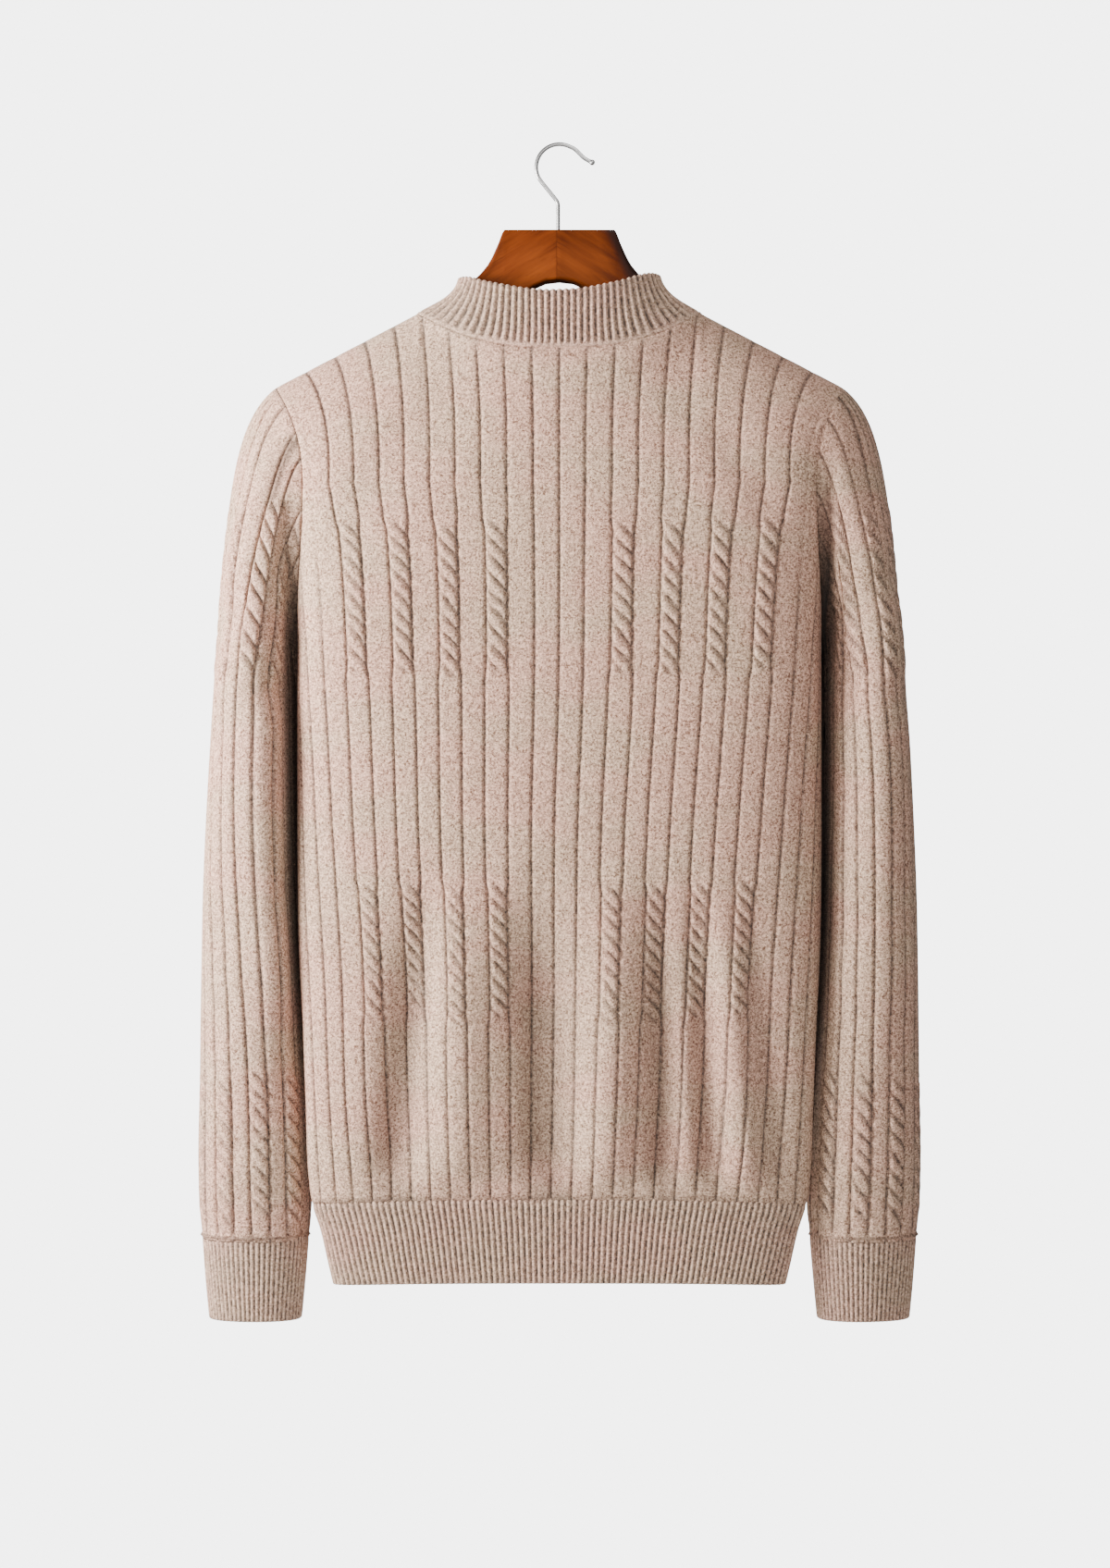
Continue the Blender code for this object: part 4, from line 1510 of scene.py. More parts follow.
@dataclass
class Sleeve:
    """A sleeve with its cap, columns and two bands of cables."""

    side: Side
    form: SleeveForm
    finish: bpy.types.Material
    pitch: float = 0.0134
    wall: float = 0.0030
    deepest: float = -0.0022
    upper: CableBand = CableBand(-0.262, -0.392, 8.3)
    lower: CableBand = CableBand(-0.672, -0.788, 8.4)
    flat: tuple[float, float] = (0.32, 0.600)
    flat_area: float = 0.170
    keep_front: float = -2.6
    keep_back: float = 12.0
    crevice_depth: float = 0.014
    settle: float = 0.85
    drift: float = 0.09

    def knit(self) -> ColumnKnit:
        """The knit, with a cable in every other column round the sleeve.

        Returns:
            The knit.
        """
        left = self.side is Side.LEFT
        bands = (self.upper, self.lower)
        lean, seed = (0.85, 31) if left else (-0.85, 47)
        return ColumnKnit(
            bands,
            first=-2,
            last=12,
            mirrored=False,
            seed=seed,
            lean=lean,
            groove_width=0.00125,
            groove_depth=0.0015,
            squeeze=-0.02,
            valley=0.11 if left else 0.17,
        )

    def front_shift(self, height: float) -> float:
        """The column coordinate of the front-most line, which moves in toward the cuff."""
        return float(level_curves(FRONT_LINES[self.side])["cell"](height))

    def span(self, height: float) -> tuple[float, float, Grid, Grid]:
        """The column coordinates of the inner seam, and the angle of each coordinate.

        Args:
            height: the height.

        Returns:
            The seam's two coordinates, then stations and their angles.
        """
        angles, arc = self.form.arcs(height)
        column = self.front_shift(height) + arc / self.pitch
        return float(column.min()), float(column.max()), column[::-1], angles[::-1]

    def lines(self) -> Grid:
        """Line coordinates round the sleeve, closer at the grooves.

        Returns:
            One coordinate for each line.
        """
        low, high, _, _ = self.span(self.form.cap_foot)
        steps = np.array([0, 0.035, 0.085, 0.16, 0.26, 0.38, 0.50, 0.62, 0.74, 0.84, 0.915, 0.965])
        whole = np.arange(math.floor(low), math.ceil(high))[:, None] + steps
        coarse = (whole > 5) & np.isin(np.arange(len(steps)), (1, 3, 5, 7, 9, 11))
        line = whole[~coarse]
        return np.concatenate([[low], line[(line > low + 0.02) & (line < high - 0.02)]])

    def placed(self, line: Grid, height: float) -> tuple[Grid, Grid]:
        """The column coordinate and the turn of each line at a height.

        Args:
            line: line coordinates.
            height: the height.

        Returns:
            One pair of values for each line.
        """
        low, high, column, angle = self.span(height)
        widest_low, widest_high, _, _ = self.span(self.form.cap_foot)
        cell = line.copy()
        front, back = line < self.keep_front, line > self.keep_back
        for part, keep, near, wide in (
            (front, self.keep_front, low, widest_low),
            (back, self.keep_back, high, widest_high),
        ):
            cell[part] = keep + (line[part] - keep) * (near - keep) / (wide - keep)
        return cell, np.interp(cell, column, angle) / math.pi

    def seam_turn(self, line: Grid) -> Grid:
        """The armhole turn where each line is sewn in.

        Args:
            line: line coordinates.

        Returns:
            One turn for each line.
        """
        low, high, _, _ = self.span(self.form.cap_foot)
        loop, run = self.form.loops[Face.FRONT], self.form.runs[Face.FRONT]
        middle = (low + high) / 2
        sewn = SEWN_LINES[self.side]
        columns = [middle, *(row.column for row in sewn), low]
        heights = [loop[0, 2], *(row.height for row in sewn), loop[-1, 2]]
        turns = [float(np.interp(-h, -loop[:, 2], run)) / run[-1] for h in heights]
        front = np.interp(-line, [-c for c in columns], turns)
        back = np.interp(line - 2 * middle, [-c for c in columns], turns)
        return np.where(line <= middle, front, -back)

    def cap_turns(self, line: Grid, drop: float, seam: Grid, foot: Grid) -> Grid:
        """The turn of each line in the cap, on its way from the armhole to the cap's foot.

        Args:
            line: the line coordinates.
            drop: 0 at the armhole to 1 at the foot.
            seam: each line's turn at the armhole.
            foot: each line's turn at the foot.

        Returns:
            The turns.
        """
        blend = float(smooth_step(np.array(drop))) ** self.settle
        middle = -0.3 if self.side is Side.LEFT else 0.3
        drift = self.drift if self.side is Side.LEFT else 1.35 * self.drift
        inward = drift * bump(line, middle, 1.3) * math.sin(math.pi * drop) ** 2
        return seam + (foot - seam) * blend + inward

    def crevice(self, grid: Grid, turns: Grid, drops: Grid) -> tuple[Grid, Grid]:
        """Draws the sleeve back where it lies in the deep fold beside the body.

        Args:
            grid: the points of the right sleeve.
            turns: their turns, 1 at the inner seam.
            drops: each row's drop in the cap, 1 below it.

        Returns:
            The moved points and the shade painted on each, 0 to 1.
        """
        deep = CREVICES[self.side]
        x, z = grid[..., 0], grid[..., 2]
        inward = smooth_step((np.abs(turns) - 0.30) / 0.12)
        lower = smooth_step((-0.53 - z) / 0.20)
        full, reach = deep.full_x - 0.0065 * lower, deep.open_x - 0.0075 * lower
        beside = smooth_step((reach - x) / (reach - full)) * inward
        tall = smooth_step((deep.top - z) / deep.deepens)
        held = 1 - smooth_step((np.abs(turns) - 0.93) / 0.07)
        sewn = smooth_step(drops / 0.30)[:, None]
        moved = grid.copy()
        moved[..., 1] += np.sign(turns) * self.crevice_depth * beside * held * tall * sewn * (1 - 0.6 * lower)
        # painted shade in the crevice beside the body
        dim = smooth_step((reach + 0.0015 - x) / (reach + 0.0025 - full)) * inward
        ends = smooth_step((z + 0.775) / 0.12)
        return moved, dim**1.15 * tall * (1 - deep.pales * lower) * ends

    def rows(self) -> list[tuple[bool, float]]:
        """Rows from the cuff up: (False, height), then (True, drop) in the cap.

        Returns:
            One pair for each row.
        """
        f = self.form
        cuts = [f.cuff_top, self.lower.bottom - 0.010, self.lower.top + 0.012, self.form.cap_foot]
        heights: list[float] = []
        for low, high, step in zip(cuts, cuts[1:], (0.0040, 0.0015, 0.0055)):
            heights += np.linspace(low, high, max(2, round((high - low) / step)), endpoint=False).tolist()
        drops = np.concatenate([np.linspace(1, 0.14, 168, endpoint=False), np.linspace(0.14, 0, 9)])
        return [(False, h) for h in heights] + [(True, float(d)) for d in drops]

    def folds(self, points: Grid) -> Grid:
        """Soft troughs and ridges of the hanging sleeve, in metres.

        Args:
            points: the plain form.

        Returns:
            One height for each point.
        """
        x, y, z = points[..., 0], points[..., 1], points[..., 2]
        tilt = 1.0 if self.side is Side.LEFT else -0.8
        total = np.zeros_like(x)
        shown = smooth_step((-0.002 - y) / 0.03)
        for fold in ELBOW_FOLDS:
            total += fold.height * bump(z + tilt * fold.slant * (x - 0.222), fold.at, fold.width) * shown
        return total

    def long_folds(self, cell: Grid, height: Grid) -> Grid:
        """Folds that run down from the armhole along the columns, in metres.

        Args:
            cell: column coordinates.
            height: heights.

        Returns:
            One height for each point.
        """
        under_cap = smooth_step((-0.195 - height) / 0.03) * smooth_step((height + 0.345) / 0.06)
        below = smooth_step((-0.39 - height) / 0.04) * smooth_step((height + 0.68) / 0.08)
        return sum(
            fold.height * bump(cell, fold.at, fold.width) * (under_cap + fold.below * below)
            for fold in COLUMN_FOLDS[self.side]
        )

    def fold_shade(self, cell: Grid, height: Grid) -> Grid:
        """The shade painted into the narrow fold above the first cable, 0 to 1.

        Args:
            cell: column coordinates.
            height: heights.

        Returns:
            One value for each point.
        """
        if self.side is Side.RIGHT:
            tall = smooth_step((-0.150 - height) / 0.035) * smooth_step((height + 0.275) / 0.045)
            return 0.55 * tall * bump(cell, 2.92, 0.16)
        tall = smooth_step((-0.190 - height) / 0.035) * smooth_step((height + 0.285) / 0.035)
        return 0.75 * tall * bump(cell, 0.74, 0.26)

    def build(self) -> bpy.types.Object:
        """Returns:
            The sleeve.
        """
        knit, line = self.knit(), self.lines()
        _, foot_turn = self.placed(line, self.form.cap_foot)
        seam_turn = self.seam_turn(line)
        points, column, turned, drops = [], [], [], []
        for cap, at in self.rows():
            if cap:
                turns = self.cap_turns(line, at, seam_turn, foot_turn)
                points.append(self.form.cap_ring(at, turns))
                column.append(line)
            else:
                cell, turns = self.placed(line, at)
                points.append(self.form.ring(at, turns * math.pi))
                column.append(cell)
            turned.append(turns)
            drops.append(at if cap else 1.0)
        cell = np.array(column)
        grid, shade = self.crevice(np.array(points), np.array(turned), np.array(drops))
        step = np.linalg.norm(np.roll(grid, -1, 1) - grid, axis=2)
        gap = np.abs(np.roll(cell, -1, 1) - cell)
        pitch = np.where(gap > 2, self.pitch, step / np.maximum(gap, 1e-6))
        pitch = np.clip(pitch, 0.002, 0.03)
        height = grid[..., 2]
        skin = ClothSkin(grid, cell, cell, cell, True, self.wall)
        calm = edge_reach(skin, 0.004)
        around = unit(np.roll(grid, -1, 1) - np.roll(grid, 1, 1))
        grid = grid + around * (knit.sideways(cell, height, pitch) * calm)[..., None]
        relief, hollow = knit.relief(cell, height, pitch)
        near = 1 - np.exp(-((np.minimum(np.abs(cell - cell[:, :1]), 1) / 0.2) ** 2))
        outer = 1 - 0.55 * smooth_step((cell - 3.4) / 0.8) * smooth_step((9.6 - cell) / 0.8)
        relief = relief * (0.30 + 0.70 * calm) * near * (1 - 0.6 * shade) * outer
        relief = relief - 0.0003 * (1 - calm) ** 2
        faint = smooth_step((cell - 1.9) / 0.6) * smooth_step((height + 0.60) / 0.10)
        hollow = hollow * (1 - 0.6 * shade) * (1 - (0.55 if self.side is Side.LEFT else 0.0) * faint)
        inner_side = smooth_step((np.abs(np.array(turned)) - 0.90) / 0.08)
        beside = smooth_step((-0.33 - grid[..., 2]) / 0.02) * smooth_step((grid[..., 2] + 0.60) / 0.10)
        tuck = 0.0026 if self.side is Side.LEFT else 0.0009
        soft = self.folds(grid) + self.long_folds(cell, height) + tuck * inner_side * beside
        # painted shade: the crevice beside the body and the narrow fold above the first cable
        shade = np.clip(shade + self.fold_shade(cell, height), 0, 1)
        relief = np.maximum(relief * np.clip(pitch / 0.009, 0.15, 1), self.deepest)
        grid = folded(grid, soft * edge_reach(skin, 0.03), True)
        run = run_length(grid[:, 60])
        uv = np.stack([cell * self.pitch, np.repeat(run[:, None], len(line), 1)], -1)
        if self.side is Side.LEFT:
            grid = grid * np.array([-1, 1, 1])
            grid, relief, hollow, uv, shade = (a[:, ::-1] for a in (grid, relief, hollow, uv, shade))
        done = ClothSkin(grid, relief, hollow, uv, True, self.wall, shade)
        piece = cloth_object(f"{self.side.value}_sleeve", done, self.finish, 8)
        dress(piece, f"sleeve_{self.side.value}")
        LOG.info("%s sleeve: %d faces", self.side.value, len(piece.data.polygons))
        return piece


@dataclass
class Cuff:
    """A ribbed cuff."""

    side: Side
    form: SleeveForm
    finish: bpy.types.Material
    ribs: int = 58
    rib_depth: float = 0.0012
    rib_width: float = 0.0034
    wall: float = 0.0032
    steps: int = 6

    def build(self) -> bpy.types.Object:
        """Returns:
            The cuff.
        """
        f = self.form
        count = self.ribs * self.steps
        heights = band_heights(f.cuff_bottom, f.cuff_top, 14)
        rib = np.arange(count) / self.steps
        points = []
        for height in heights:
            angles, arc = f.arcs(height)
            run = arc[0] - arc
            at = np.arange(count) / count * run[-1]
            points.append(f.ring(height, np.interp(at, run, angles)))
        grid = np.array(points)
        skin = ClothSkin(grid, grid, grid, grid, True, self.wall)
        relief, hollow = band_relief(skin, self.rib_depth, rib)
        uv = band_uv(rib, self.rib_width, heights - heights[0])
        if self.side is Side.LEFT:
            grid = grid * np.array([-1, 1, 1])
        else:
            grid, relief, hollow, uv = (a[:, ::-1] for a in (grid, relief, hollow, uv))
        done = ClothSkin(grid, relief, hollow, uv, True, self.wall)
        piece = cloth_object(f"{self.side.value}_cuff", done, self.finish, 3)
        dress(piece, f"cuff_{self.side.value}")
        LOG.info("%s cuff: %d faces", self.side.value, len(piece.data.polygons))
        return piece


class TopPlace(NamedTuple):
    """The height of the collar's front edge at a share of its half width."""

    share: float
    height: float


FRONT_TOP: tuple[TopPlace, ...] = (
    TopPlace(-1.0, -0.0985),
    TopPlace(-0.90, -0.0998),
    TopPlace(-0.78, -0.1030),
    TopPlace(-0.57, -0.1070),
    TopPlace(-0.37, -0.1101),
    TopPlace(-0.17, -0.1117),
    TopPlace(0.0, -0.1117),
    TopPlace(0.24, -0.1103),
    TopPlace(0.44, -0.1073),
    TopPlace(0.64, -0.1034),
    TopPlace(0.78, -0.0995),
    TopPlace(0.92, -0.0968),
    TopPlace(1.0, -0.0968),
)


@dataclass
class Collar:
    """The ribbed standing collar, folded at its top and linked to the neckline."""

    trunk: TrunkForm
    finish: bpy.types.Material
    ribs: int = 82
    rib_width: float = 0.0046
    steps: int = 8
    wall: float = 0.0036
    top_half_width: float = 0.0740
    top_depth: float = 0.0440
    front_top: Curve = field(default_factory=lambda: level_curves(FRONT_TOP)["height"])
    back_top: float = -0.1010
    flare: float = 0.0135
    handle: float = 0.013
    crown: float = 0.0012
    flat: tuple[float, float] = (0.43, 0.100)
    flat_area: float = 0.0215

    def top_line(self) -> tuple[Grid, Grid]:
        """Evenly spaced points of the top edge as (x share, face sign).

        Returns:
            The shares and the signs.
        """
        turn = np.linspace(-math.pi, math.pi, 2881)
        power = 2 / self.trunk.neck_roundness
        cos, sin = np.cos(turn), np.sin(turn)
        x = np.sign(cos) * np.abs(cos) ** power
        y = np.sign(sin) * np.abs(sin) ** power
        run = run_length(np.stack([x * self.top_half_width, y * self.top_depth], -1))
        count = self.ribs * self.steps
        at = np.arange(count) / count * run[-1]
        angle = np.interp(at, run, turn)
        cos, sin = np.cos(angle), np.sin(angle)
        return np.sign(cos) * np.abs(cos) ** power, sin

    def rings(self, rises: Sequence[float]) -> Grid:
        """Rows of points from the neckline up to the top edge, round from the left by the front.

        Args:
            rises: rises from 0 to 1.

        Returns:
            One row of points for each rise.
        """
        share, depth_sign = self.top_line()
        t = self.trunk
        base_share = 0.708 * share + 0.292 * share**3
        front = depth_sign <= 0
        base = np.where(
            front[:, None],
            t.neckline(Face.FRONT, base_share * t.neck_half_width),
            t.neckline(Face.BACK, base_share * t.neck_half_width),
        )
        side = np.abs(share)
        power = t.neck_roundness
        depth = np.clip(1 - side**power, 0, 1) ** (1 / power)
        y_top = np.where(front, -self.top_depth, self.top_depth) * depth
        ends = self.front_top(np.sign(share))
        z_top = np.where(front, self.front_top(share), self.back_top + (ends - self.back_top) * side**2)
        top = np.stack([share * self.top_half_width, y_top, z_top], axis=-1)
        lean = np.sign(share) * side**2
        level = np.zeros(len(share))
        up = np.full(len(share), self.handle)
        leaving = base + np.stack([-self.flare * lean, level, up - 0.005 * side**2], -1)
        arriving = top + np.stack([0.0035 * lean, level, -up], -1)
        return np.array([bezier(base, leaving, arriving, top, r) for r in rises])

    def build(self) -> bpy.types.Object:
        """Returns:
            The collar.
        """
        rises = [0.0, 0.02, 0.045, 0.075, 0.11, 0.16, 0.24, 0.34]
        rises += [0.45, 0.56, 0.67, 0.78, 0.87, 0.94, 0.98, 1.0]
        grid = self.rings(rises)
        count = grid.shape[1]
        rib = np.arange(count) / self.steps + 0.5
        ribs = np.repeat(rib[None], len(rises), 0)
        skin = ClothSkin(grid, grid, grid, grid, True, self.wall)
        normal = skin.normals()
        relief, hollow = RibKnit(0.0019).relief(ribs)
        rise = np.array(rises)[:, None]
        strength = smooth_step((rise - 0.05) / 0.08)
        link = np.exp(-(((rise - 0.045) / 0.022) ** 2))
        relief = relief * strength + 0.0004 * link - 0.0003 * (1 - strength) * (1 - link)
        # painted shade in the rib valleys, and a little below the ribs
        hollow = hollow * strength + 0.12 * (1 - strength) * (1 - link)
        outer = grid + normal * relief[..., None]
        inner_relief, inner_hollow = RibKnit(0.0013).relief(ribs)
        inner = grid - normal * (self.wall * (0.75 + 0.25 * rise) - 0.0004 + inner_relief)[..., None]
        middle = (outer[-1] + inner[-1]) / 2
        top_relief = RibKnit(0.0010).relief(ribs[-1:])[0][0]
        fold = []
        for angle in np.radians((35, 65, 90, 115, 145)):
            ring = middle + (outer[-1] - middle) * math.cos(angle)
            ring[:, 2] += (self.crown + 0.0006 + top_relief) * math.sin(angle)
            fold.append(ring)
        keep = (15, 13, 11, 9, 7, 5, 3, 1, 0)
        profile = np.concatenate([outer, np.array(fold), inner[list(keep)]])
        # painted shade of the rib valleys carried round the top fold
        turned_over = np.repeat(hollow[-1:] * 0.8, len(fold), 0)
        depths = np.concatenate([hollow, turned_over, inner_hollow[list(keep)]])
        rows = len(profile)
        j = np.arange(count)
        k = (j + 1) % count
        faces = []
        for i in range(rows):
            a, b = i * count, (i + 1) % rows * count
            faces += np.stack([a + j, a + k, b + k, b + j], 1).tolist()
        uv = band_uv(rib, self.rib_width, run_length(profile[:, count // 4])).reshape(-1, 2)
        points = profile.reshape(-1, 3)
        piece = mesh_object("collar_band", points, faces, depths.reshape(-1), uv, self.finish)
        dress(piece, "collar")
        LOG.info("collar: %d faces", len(piece.data.polygons))
        return piece


# ---------------------------------------------------------------- hanger and hook


def only_select(piece: bpy.types.Object) -> None:
    """Makes a piece the only selected and active one.

    Args:
        piece: the piece.
    """
    for other in bpy.context.selected_objects:
        other.select_set(False)
    piece.select_set(True)
    bpy.context.view_layer.objects.active = piece


class HangerStation(NamedTuple):
    """A section across the hanger, at a distance from its middle."""

    x: float
    top: float
    bottom: float
    half_thickness: float
    rounding: float


@dataclass
class WoodenHanger:
    """The shaped wooden hanger: one bar cut to its outline, its edges rounded more outward."""

    finish: bpy.types.Material
    stations: tuple[HangerStation, ...] = (
        HangerStation(0.0000, -0.0623, -0.0986, 0.0110, 0.16),
        HangerStation(0.0100, -0.0623, -0.0998, 0.0110, 0.16),
        HangerStation(0.0190, -0.0623, -0.1038, 0.0110, 0.16),
        HangerStation(0.0300, -0.0623, -0.1110, 0.0110, 0.16),
        HangerStation(0.0399, -0.0623, -0.1166, 0.0110, 0.16),
        HangerStation(0.0411, -0.0636, -0.1172, 0.0110, 0.30),
        HangerStation(0.0424, -0.0663, -0.1180, 0.0110, 0.34),
        HangerStation(0.0444, -0.0717, -0.1192, 0.0110, 0.34),
        HangerStation(0.0468, -0.0771, -0.1206, 0.0110, 0.34),
        HangerStation(0.0493, -0.0825, -0.1220, 0.0111, 0.34),
        HangerStation(0.0525, -0.0880, -0.1238, 0.0112, 0.36),
        HangerStation(0.0575, -0.0940, -0.1266, 0.0113, 0.38),
        HangerStation(0.0670, -0.1030, -0.1320, 0.0115, 0.44),
        HangerStation(0.0800, -0.1125, -0.1392, 0.0118, 0.64),
        HangerStation(0.0940, -0.1222, -0.1465, 0.0117, 0.88),
        HangerStation(0.1120, -0.1312, -0.1558, 0.0117, 1.00),
        HangerStation(0.1300, -0.1406, -0.1650, 0.0120, 1.00),
        HangerStation(0.1500, -0.1511, -0.1750, 0.0122, 1.00),
        HangerStation(0.1680, -0.1605, -0.1832, 0.0124, 1.00),
        HangerStation(0.1820, -0.1682, -0.1880, 0.0118, 0.85),
        HangerStation(0.1870, -0.1740, -0.1872, 0.0095, 0.55),
        HangerStation(0.1900, -0.1785, -0.1855, 0.0060, 0.28),
    )
    widest_round: float = 0.0108
    stem_hole: float = 0.0019
    stem_x: float = -0.0010

    def nearest(self, x: float) -> HangerStation:
        """The station nearest to a place along the bar."""
        return min(self.stations, key=lambda station: abs(station.x - abs(x)))

    def build(self) -> bpy.types.Object:
        """Builds and dresses the hanger.

        Returns:
            The hanger.
        """
        tip = self.stations[-1].x
        bpy.ops.object.select_all(action="DESELECT")
        bpy.ops.mesh.primitive_cube_add(size=1.0, location=(0, 0, -0.1))
        bar = bpy.context.active_object
        bar.name = "hanger_bar"
        only_select(bar)
        bar.scale = (2 * tip, 0.02, 0.05)
        bpy.ops.object.transform_apply(location=True, rotation=True, scale=True)
        bpy.ops.object.mode_set(mode="EDIT")
        for station in self.stations[:-1]:
            for side in (-1, 1) if station.x else (1,):
                bpy.ops.mesh.select_all(action="SELECT")
                bpy.ops.mesh.bisect(plane_co=(side * station.x, 0, 0), plane_no=(1, 0, 0))
        bpy.ops.object.mode_set(mode="OBJECT")
        for vertex in bar.data.vertices:
            near = self.nearest(vertex.co.x)
            vertex.co.y = math.copysign(near.half_thickness, vertex.co.y)
            vertex.co.z = near.top if vertex.co.z > -0.1 else near.bottom
        self.drill(bar)
        weights = bar.data.attributes.new("bevel_weight_edge", "FLOAT", "EDGE")
        for edge in bar.data.edges:
            a, b = (bar.data.vertices[i].co for i in edge.vertices)
            corner = min(abs(end.y) - self.nearest(end.x).half_thickness for end in (a, b))
            if abs(a.x - b.x) > 1e-5 and corner > -1e-4:
                outer = self.nearest(max(abs(a.x), abs(b.x)))
                weights.data[edge.index].value = outer.rounding
        bevel = bar.modifiers.new("round_over", "BEVEL")
        bevel.width = self.widest_round
        bevel.segments = 6
        bevel.limit_method = "WEIGHT"
        only_select(bar)
        bpy.ops.object.modifier_apply(modifier=bevel.name)
        bpy.ops.object.shade_smooth_by_angle(angle=math.radians(35))
        bar.data.materials.clear()
        bar.data.materials.append(self.finish)
        dress(bar, "hanger")
        LOG.info("hanger: %d faces", len(bar.data.polygons))
        return bar

    def drill(self, bar: bpy.types.Object) -> None:
        """Drills the hole that the hook's stem sits in.

        Args:
            bar: the hanger's bar.
        """
        only_select(bar)
        bpy.ops.object.mode_set(mode="EDIT")
        bpy.ops.mesh.select_all(action="SELECT")
        bpy.ops.mesh.normals_make_consistent(inside=False)
        bpy.ops.object.mode_set(mode="OBJECT")
        bpy.ops.object.select_all(action="DESELECT")
        place = (self.stem_x, 0, self.stations[0].top)
        bpy.ops.mesh.primitive_cylinder_add(
            vertices=24, radius=self.stem_hole, depth=0.041, location=place
        )
        drill = bpy.context.active_object
        only_select(bar)
        cut = bar.modifiers.new("stem_hole", "BOOLEAN")
        cut.operation, cut.solver, cut.object = "DIFFERENCE", "EXACT", drill
        bpy.ops.object.modifier_apply(modifier=cut.name)
        bpy.data.objects.remove(drill, do_unlink=True)


@dataclass
class WireHook:
    """The polished wire hook: one wire swept along its bend, with a ball on its tip."""

    finish: bpy.types.Material
    wire: float = 0.0015
    ball: float = 0.0021
    bend: float = 0.0170
    stem_x: float = -0.0010

    def path(self) -> Grid:
        """Points of the wire's middle line.

        Returns:
            One point a row.
        """
        centre = self.wire - self.bend
        stem = [(self.stem_x, -0.0823), (self.stem_x, -0.0700), (self.stem_x, -0.0550)]
        stem += [(self.stem_x, -0.0452), (self.stem_x, -0.0412), (self.stem_x - 0.0020, -0.0384)]
        arc = [
            (self.bend * math.cos(a), centre + self.bend * math.sin(a))
            for a in np.radians(np.linspace(205, 60, 19))
        ]
        tip = [(0.0115, -0.0019), (0.0167, -0.0077), (0.0190, -0.0094), (0.0226, -0.0112)]
        return np.array([*stem, (-0.0138, -0.0253), *arc, *tip])

    def build(self) -> bpy.types.Object:
        """Builds and dresses the hook.

        Returns:
            The hook.
        """
        points = self.path()
        ahead = (points[-1] - points[-2]) / np.linalg.norm(points[-1] - points[-2])
        steps = np.array([0.0004, 0.0010, 0.0018, 0.0026, 0.0033, 0.0035])
        swell = [1.0] * len(points) + [1.15, 1.5, self.ball / self.wire, 1.3, 0.8, 0.2]
        points = np.concatenate([points, points[-1] + ahead * steps[:, None]])
        bpy.ops.object.select_all(action="DESELECT")
        bpy.ops.curve.primitive_bezier_curve_add()
        wire = bpy.context.active_object
        wire.name = "hook_wire"
        curve = wire.data
        spline = curve.splines.new("NURBS")
        spline.points.add(len(points) - 1)
        for point, (x, z), size in zip(spline.points, points, swell):
            point.co = (x, 0, z, 1)
            point.radius = size
        curve.splines.remove(curve.splines[0])
        spline = curve.splines[0]
        spline.order_u = 4
        spline.use_endpoint_u = True
        spline.resolution_u = 6
        curve.bevel_depth = self.wire
        curve.bevel_resolution = 5
        curve.use_fill_caps = True
        only_select(wire)
        bpy.ops.object.convert(target="MESH")
        wire = bpy.context.active_object
        only_select(wire)
        bpy.ops.object.transform_apply(location=True, rotation=True, scale=True)
        bpy.ops.object.shade_smooth_by_angle(angle=math.radians(50))
        wire.data.materials.clear()
        wire.data.materials.append(self.finish)
        dress(wire, "hook")
        LOG.info("hook: %d faces", len(wire.data.polygons))
        return wire


# ---------------------------------------------------------------- the studio


class Lamp(NamedTuple):
    """A soft square light."""

    name: str
    place: tuple[float, float, float]
    size: float
    power: float


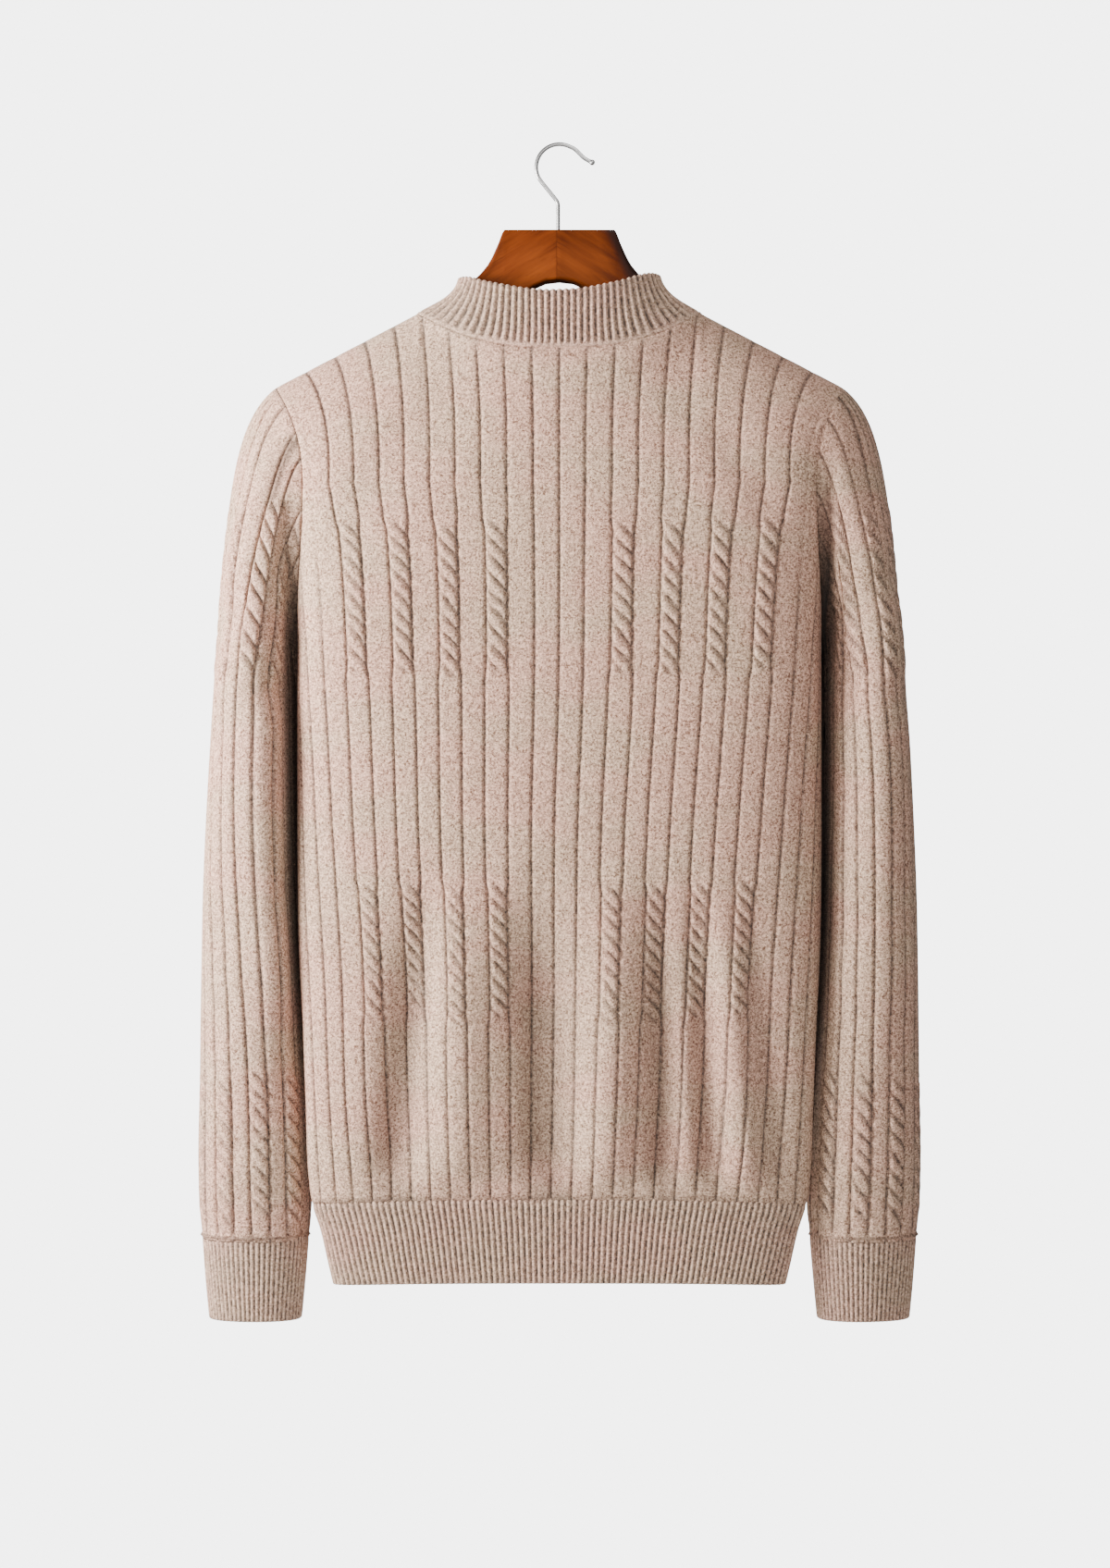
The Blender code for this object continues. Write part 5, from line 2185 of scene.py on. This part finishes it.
@dataclass
class Studio:
    """A pale floor and surround, soft lights, and the camera."""

    surround: tuple[float, float, float] = (1.0, 1.0, 1.0)
    surround_strength: float = 5.2
    surround_light: float = 0.08
    surround_gloss: float = 0.45
    camera_place: tuple[float, float, float] = (-0.0032, -2.66, -0.4656)
    lens: float = 83.66
    floor_size: float = 1.94
    floor_place: tuple[float, float, float] = (0, -0.02, -1.25)
    lamp_tint: tuple[float, float, float] = (1.0, 0.985, 0.97)
    aim: tuple[float, float, float] = (0.0, 0.0, -0.45)
    lamps: tuple[Lamp, ...] = (
        Lamp("key", (-1.7, -1.6, 0.5), 1.0, 14.0),
        Lamp("near", (-1.10, -0.46, -0.20), 0.5, 56.0),
        Lamp("fill", (-0.2, -3.0, -0.3), 1.8, 33.0),
        Lamp("top", (0.6, -1.2, 1.2), 1.0, 21.0),
        Lamp("back", (-1.4, 1.9, 0.3), 1.4, 60.0),
    )

    def light(self, lamp: Lamp) -> None:
        """Adds a soft square light that aims at the middle of the garment.

        Args:
            lamp: the light's place, size and power.
        """
        data = bpy.data.lights.new(lamp.name, "AREA")
        data.size = lamp.size
        data.energy = lamp.power
        data.color = self.lamp_tint
        made = bpy.data.objects.new(lamp.name, data)
        place = Vector(lamp.place)
        made.location = place
        made.rotation_euler = (Vector(self.aim) - place).to_track_quat("-Z", "Y").to_euler()
        bpy.context.scene.collection.objects.link(made)

    def build(self) -> None:
        """Builds the studio."""
        world = bpy.data.worlds.new("studio")
        bpy.context.scene.world = world
        world.use_nodes = True
        n = Nodes(world.node_tree)
        seen = world.node_tree.nodes["Background"]
        seen.inputs[0].default_value = (*self.surround, 1)
        seen.inputs[1].default_value = self.surround_strength
        dim = n.add("ShaderNodeBackground", {0: (0.92, 0.95, 1.0, 1), 1: self.surround_light})
        mirrored = n.add("ShaderNodeBackground", {0: (1.0, 1.0, 1.0, 1), 1: self.surround_gloss})
        path = n.add("ShaderNodeLightPath").outputs
        by_gloss = {0: path["Is Glossy Ray"], 1: dim.outputs[0], 2: mirrored.outputs[0]}
        unseen = n.add("ShaderNodeMixShader", by_gloss)
        by_eye = {0: path["Is Camera Ray"], 1: unseen.outputs[0], 2: seen.outputs[0]}
        both = n.add("ShaderNodeMixShader", by_eye)
        world.node_tree.links.new(both.outputs[0], world.node_tree.nodes["World Output"].inputs[0])
        bpy.ops.object.select_all(action="DESELECT")
        bpy.ops.mesh.primitive_plane_add(size=self.floor_size, location=self.floor_place)
        floor = bpy.context.active_object
        floor.name = "floor"
        pale, _, shader = new_material("pale_floor")
        shader.inputs["Base Color"].default_value = (0.80, 0.80, 0.80, 1)
        shader.inputs["Roughness"].default_value = 0.9
        floor.data.materials.append(pale)
        for lamp in self.lamps:
            self.light(lamp)
        camera_data = bpy.data.cameras.new("camera")
        camera_data.lens = self.lens
        camera_data.sensor_fit = "VERTICAL"
        camera_data.sensor_height = 36.0
        camera = bpy.data.objects.new("camera", camera_data)
        camera.location = self.camera_place
        camera.rotation_euler = (math.pi / 2, 0, 0)
        bpy.context.scene.collection.objects.link(camera)
        bpy.context.scene.camera = camera


def main() -> None:
    """Builds every piece in order and the studio round them."""
    logging.basicConfig(level=logging.INFO, format="%(message)s")
    group = knit_group()
    wool = KnitFinish(
        "melange_wool",
        warm=(0.560, 0.334, 0.244),
        cool=(0.530, 0.355, 0.250),
        dark=(0.030, 0.030, 0.030),
        stitch=(0.0016, 0.0013),
        melange=0.88,
    )
    rib_wool = KnitFinish(
        "melange_rib_wool",
        warm=(0.555, 0.344, 0.256),
        cool=(0.530, 0.360, 0.258),
        dark=(0.042, 0.035, 0.031),
        stitch=(0.0017, 0.0012),
        melange=0.72,
    )
    wool_material, rib_material = wool.material(group), rib_wool.material(group)
    trunk = TrunkForm()
    for face in Face:
        BodyPanel(face, trunk, wool_material).build()
        HemBand(face, trunk, rib_material).build()
    for side, turn in ((Side.LEFT, 4), (Side.RIGHT, 10)):
        form = SleeveForm(trunk, math.radians(turn))
        Sleeve(side, form, wool_material).build()
        Cuff(side, form, rib_material).build()
    Collar(trunk, rib_material).build()
    WoodenHanger(WoodFinish().material()).build()
    WireHook(SteelFinish().material()).build()
    Studio().build()


if __name__ == "__main__":
    main()
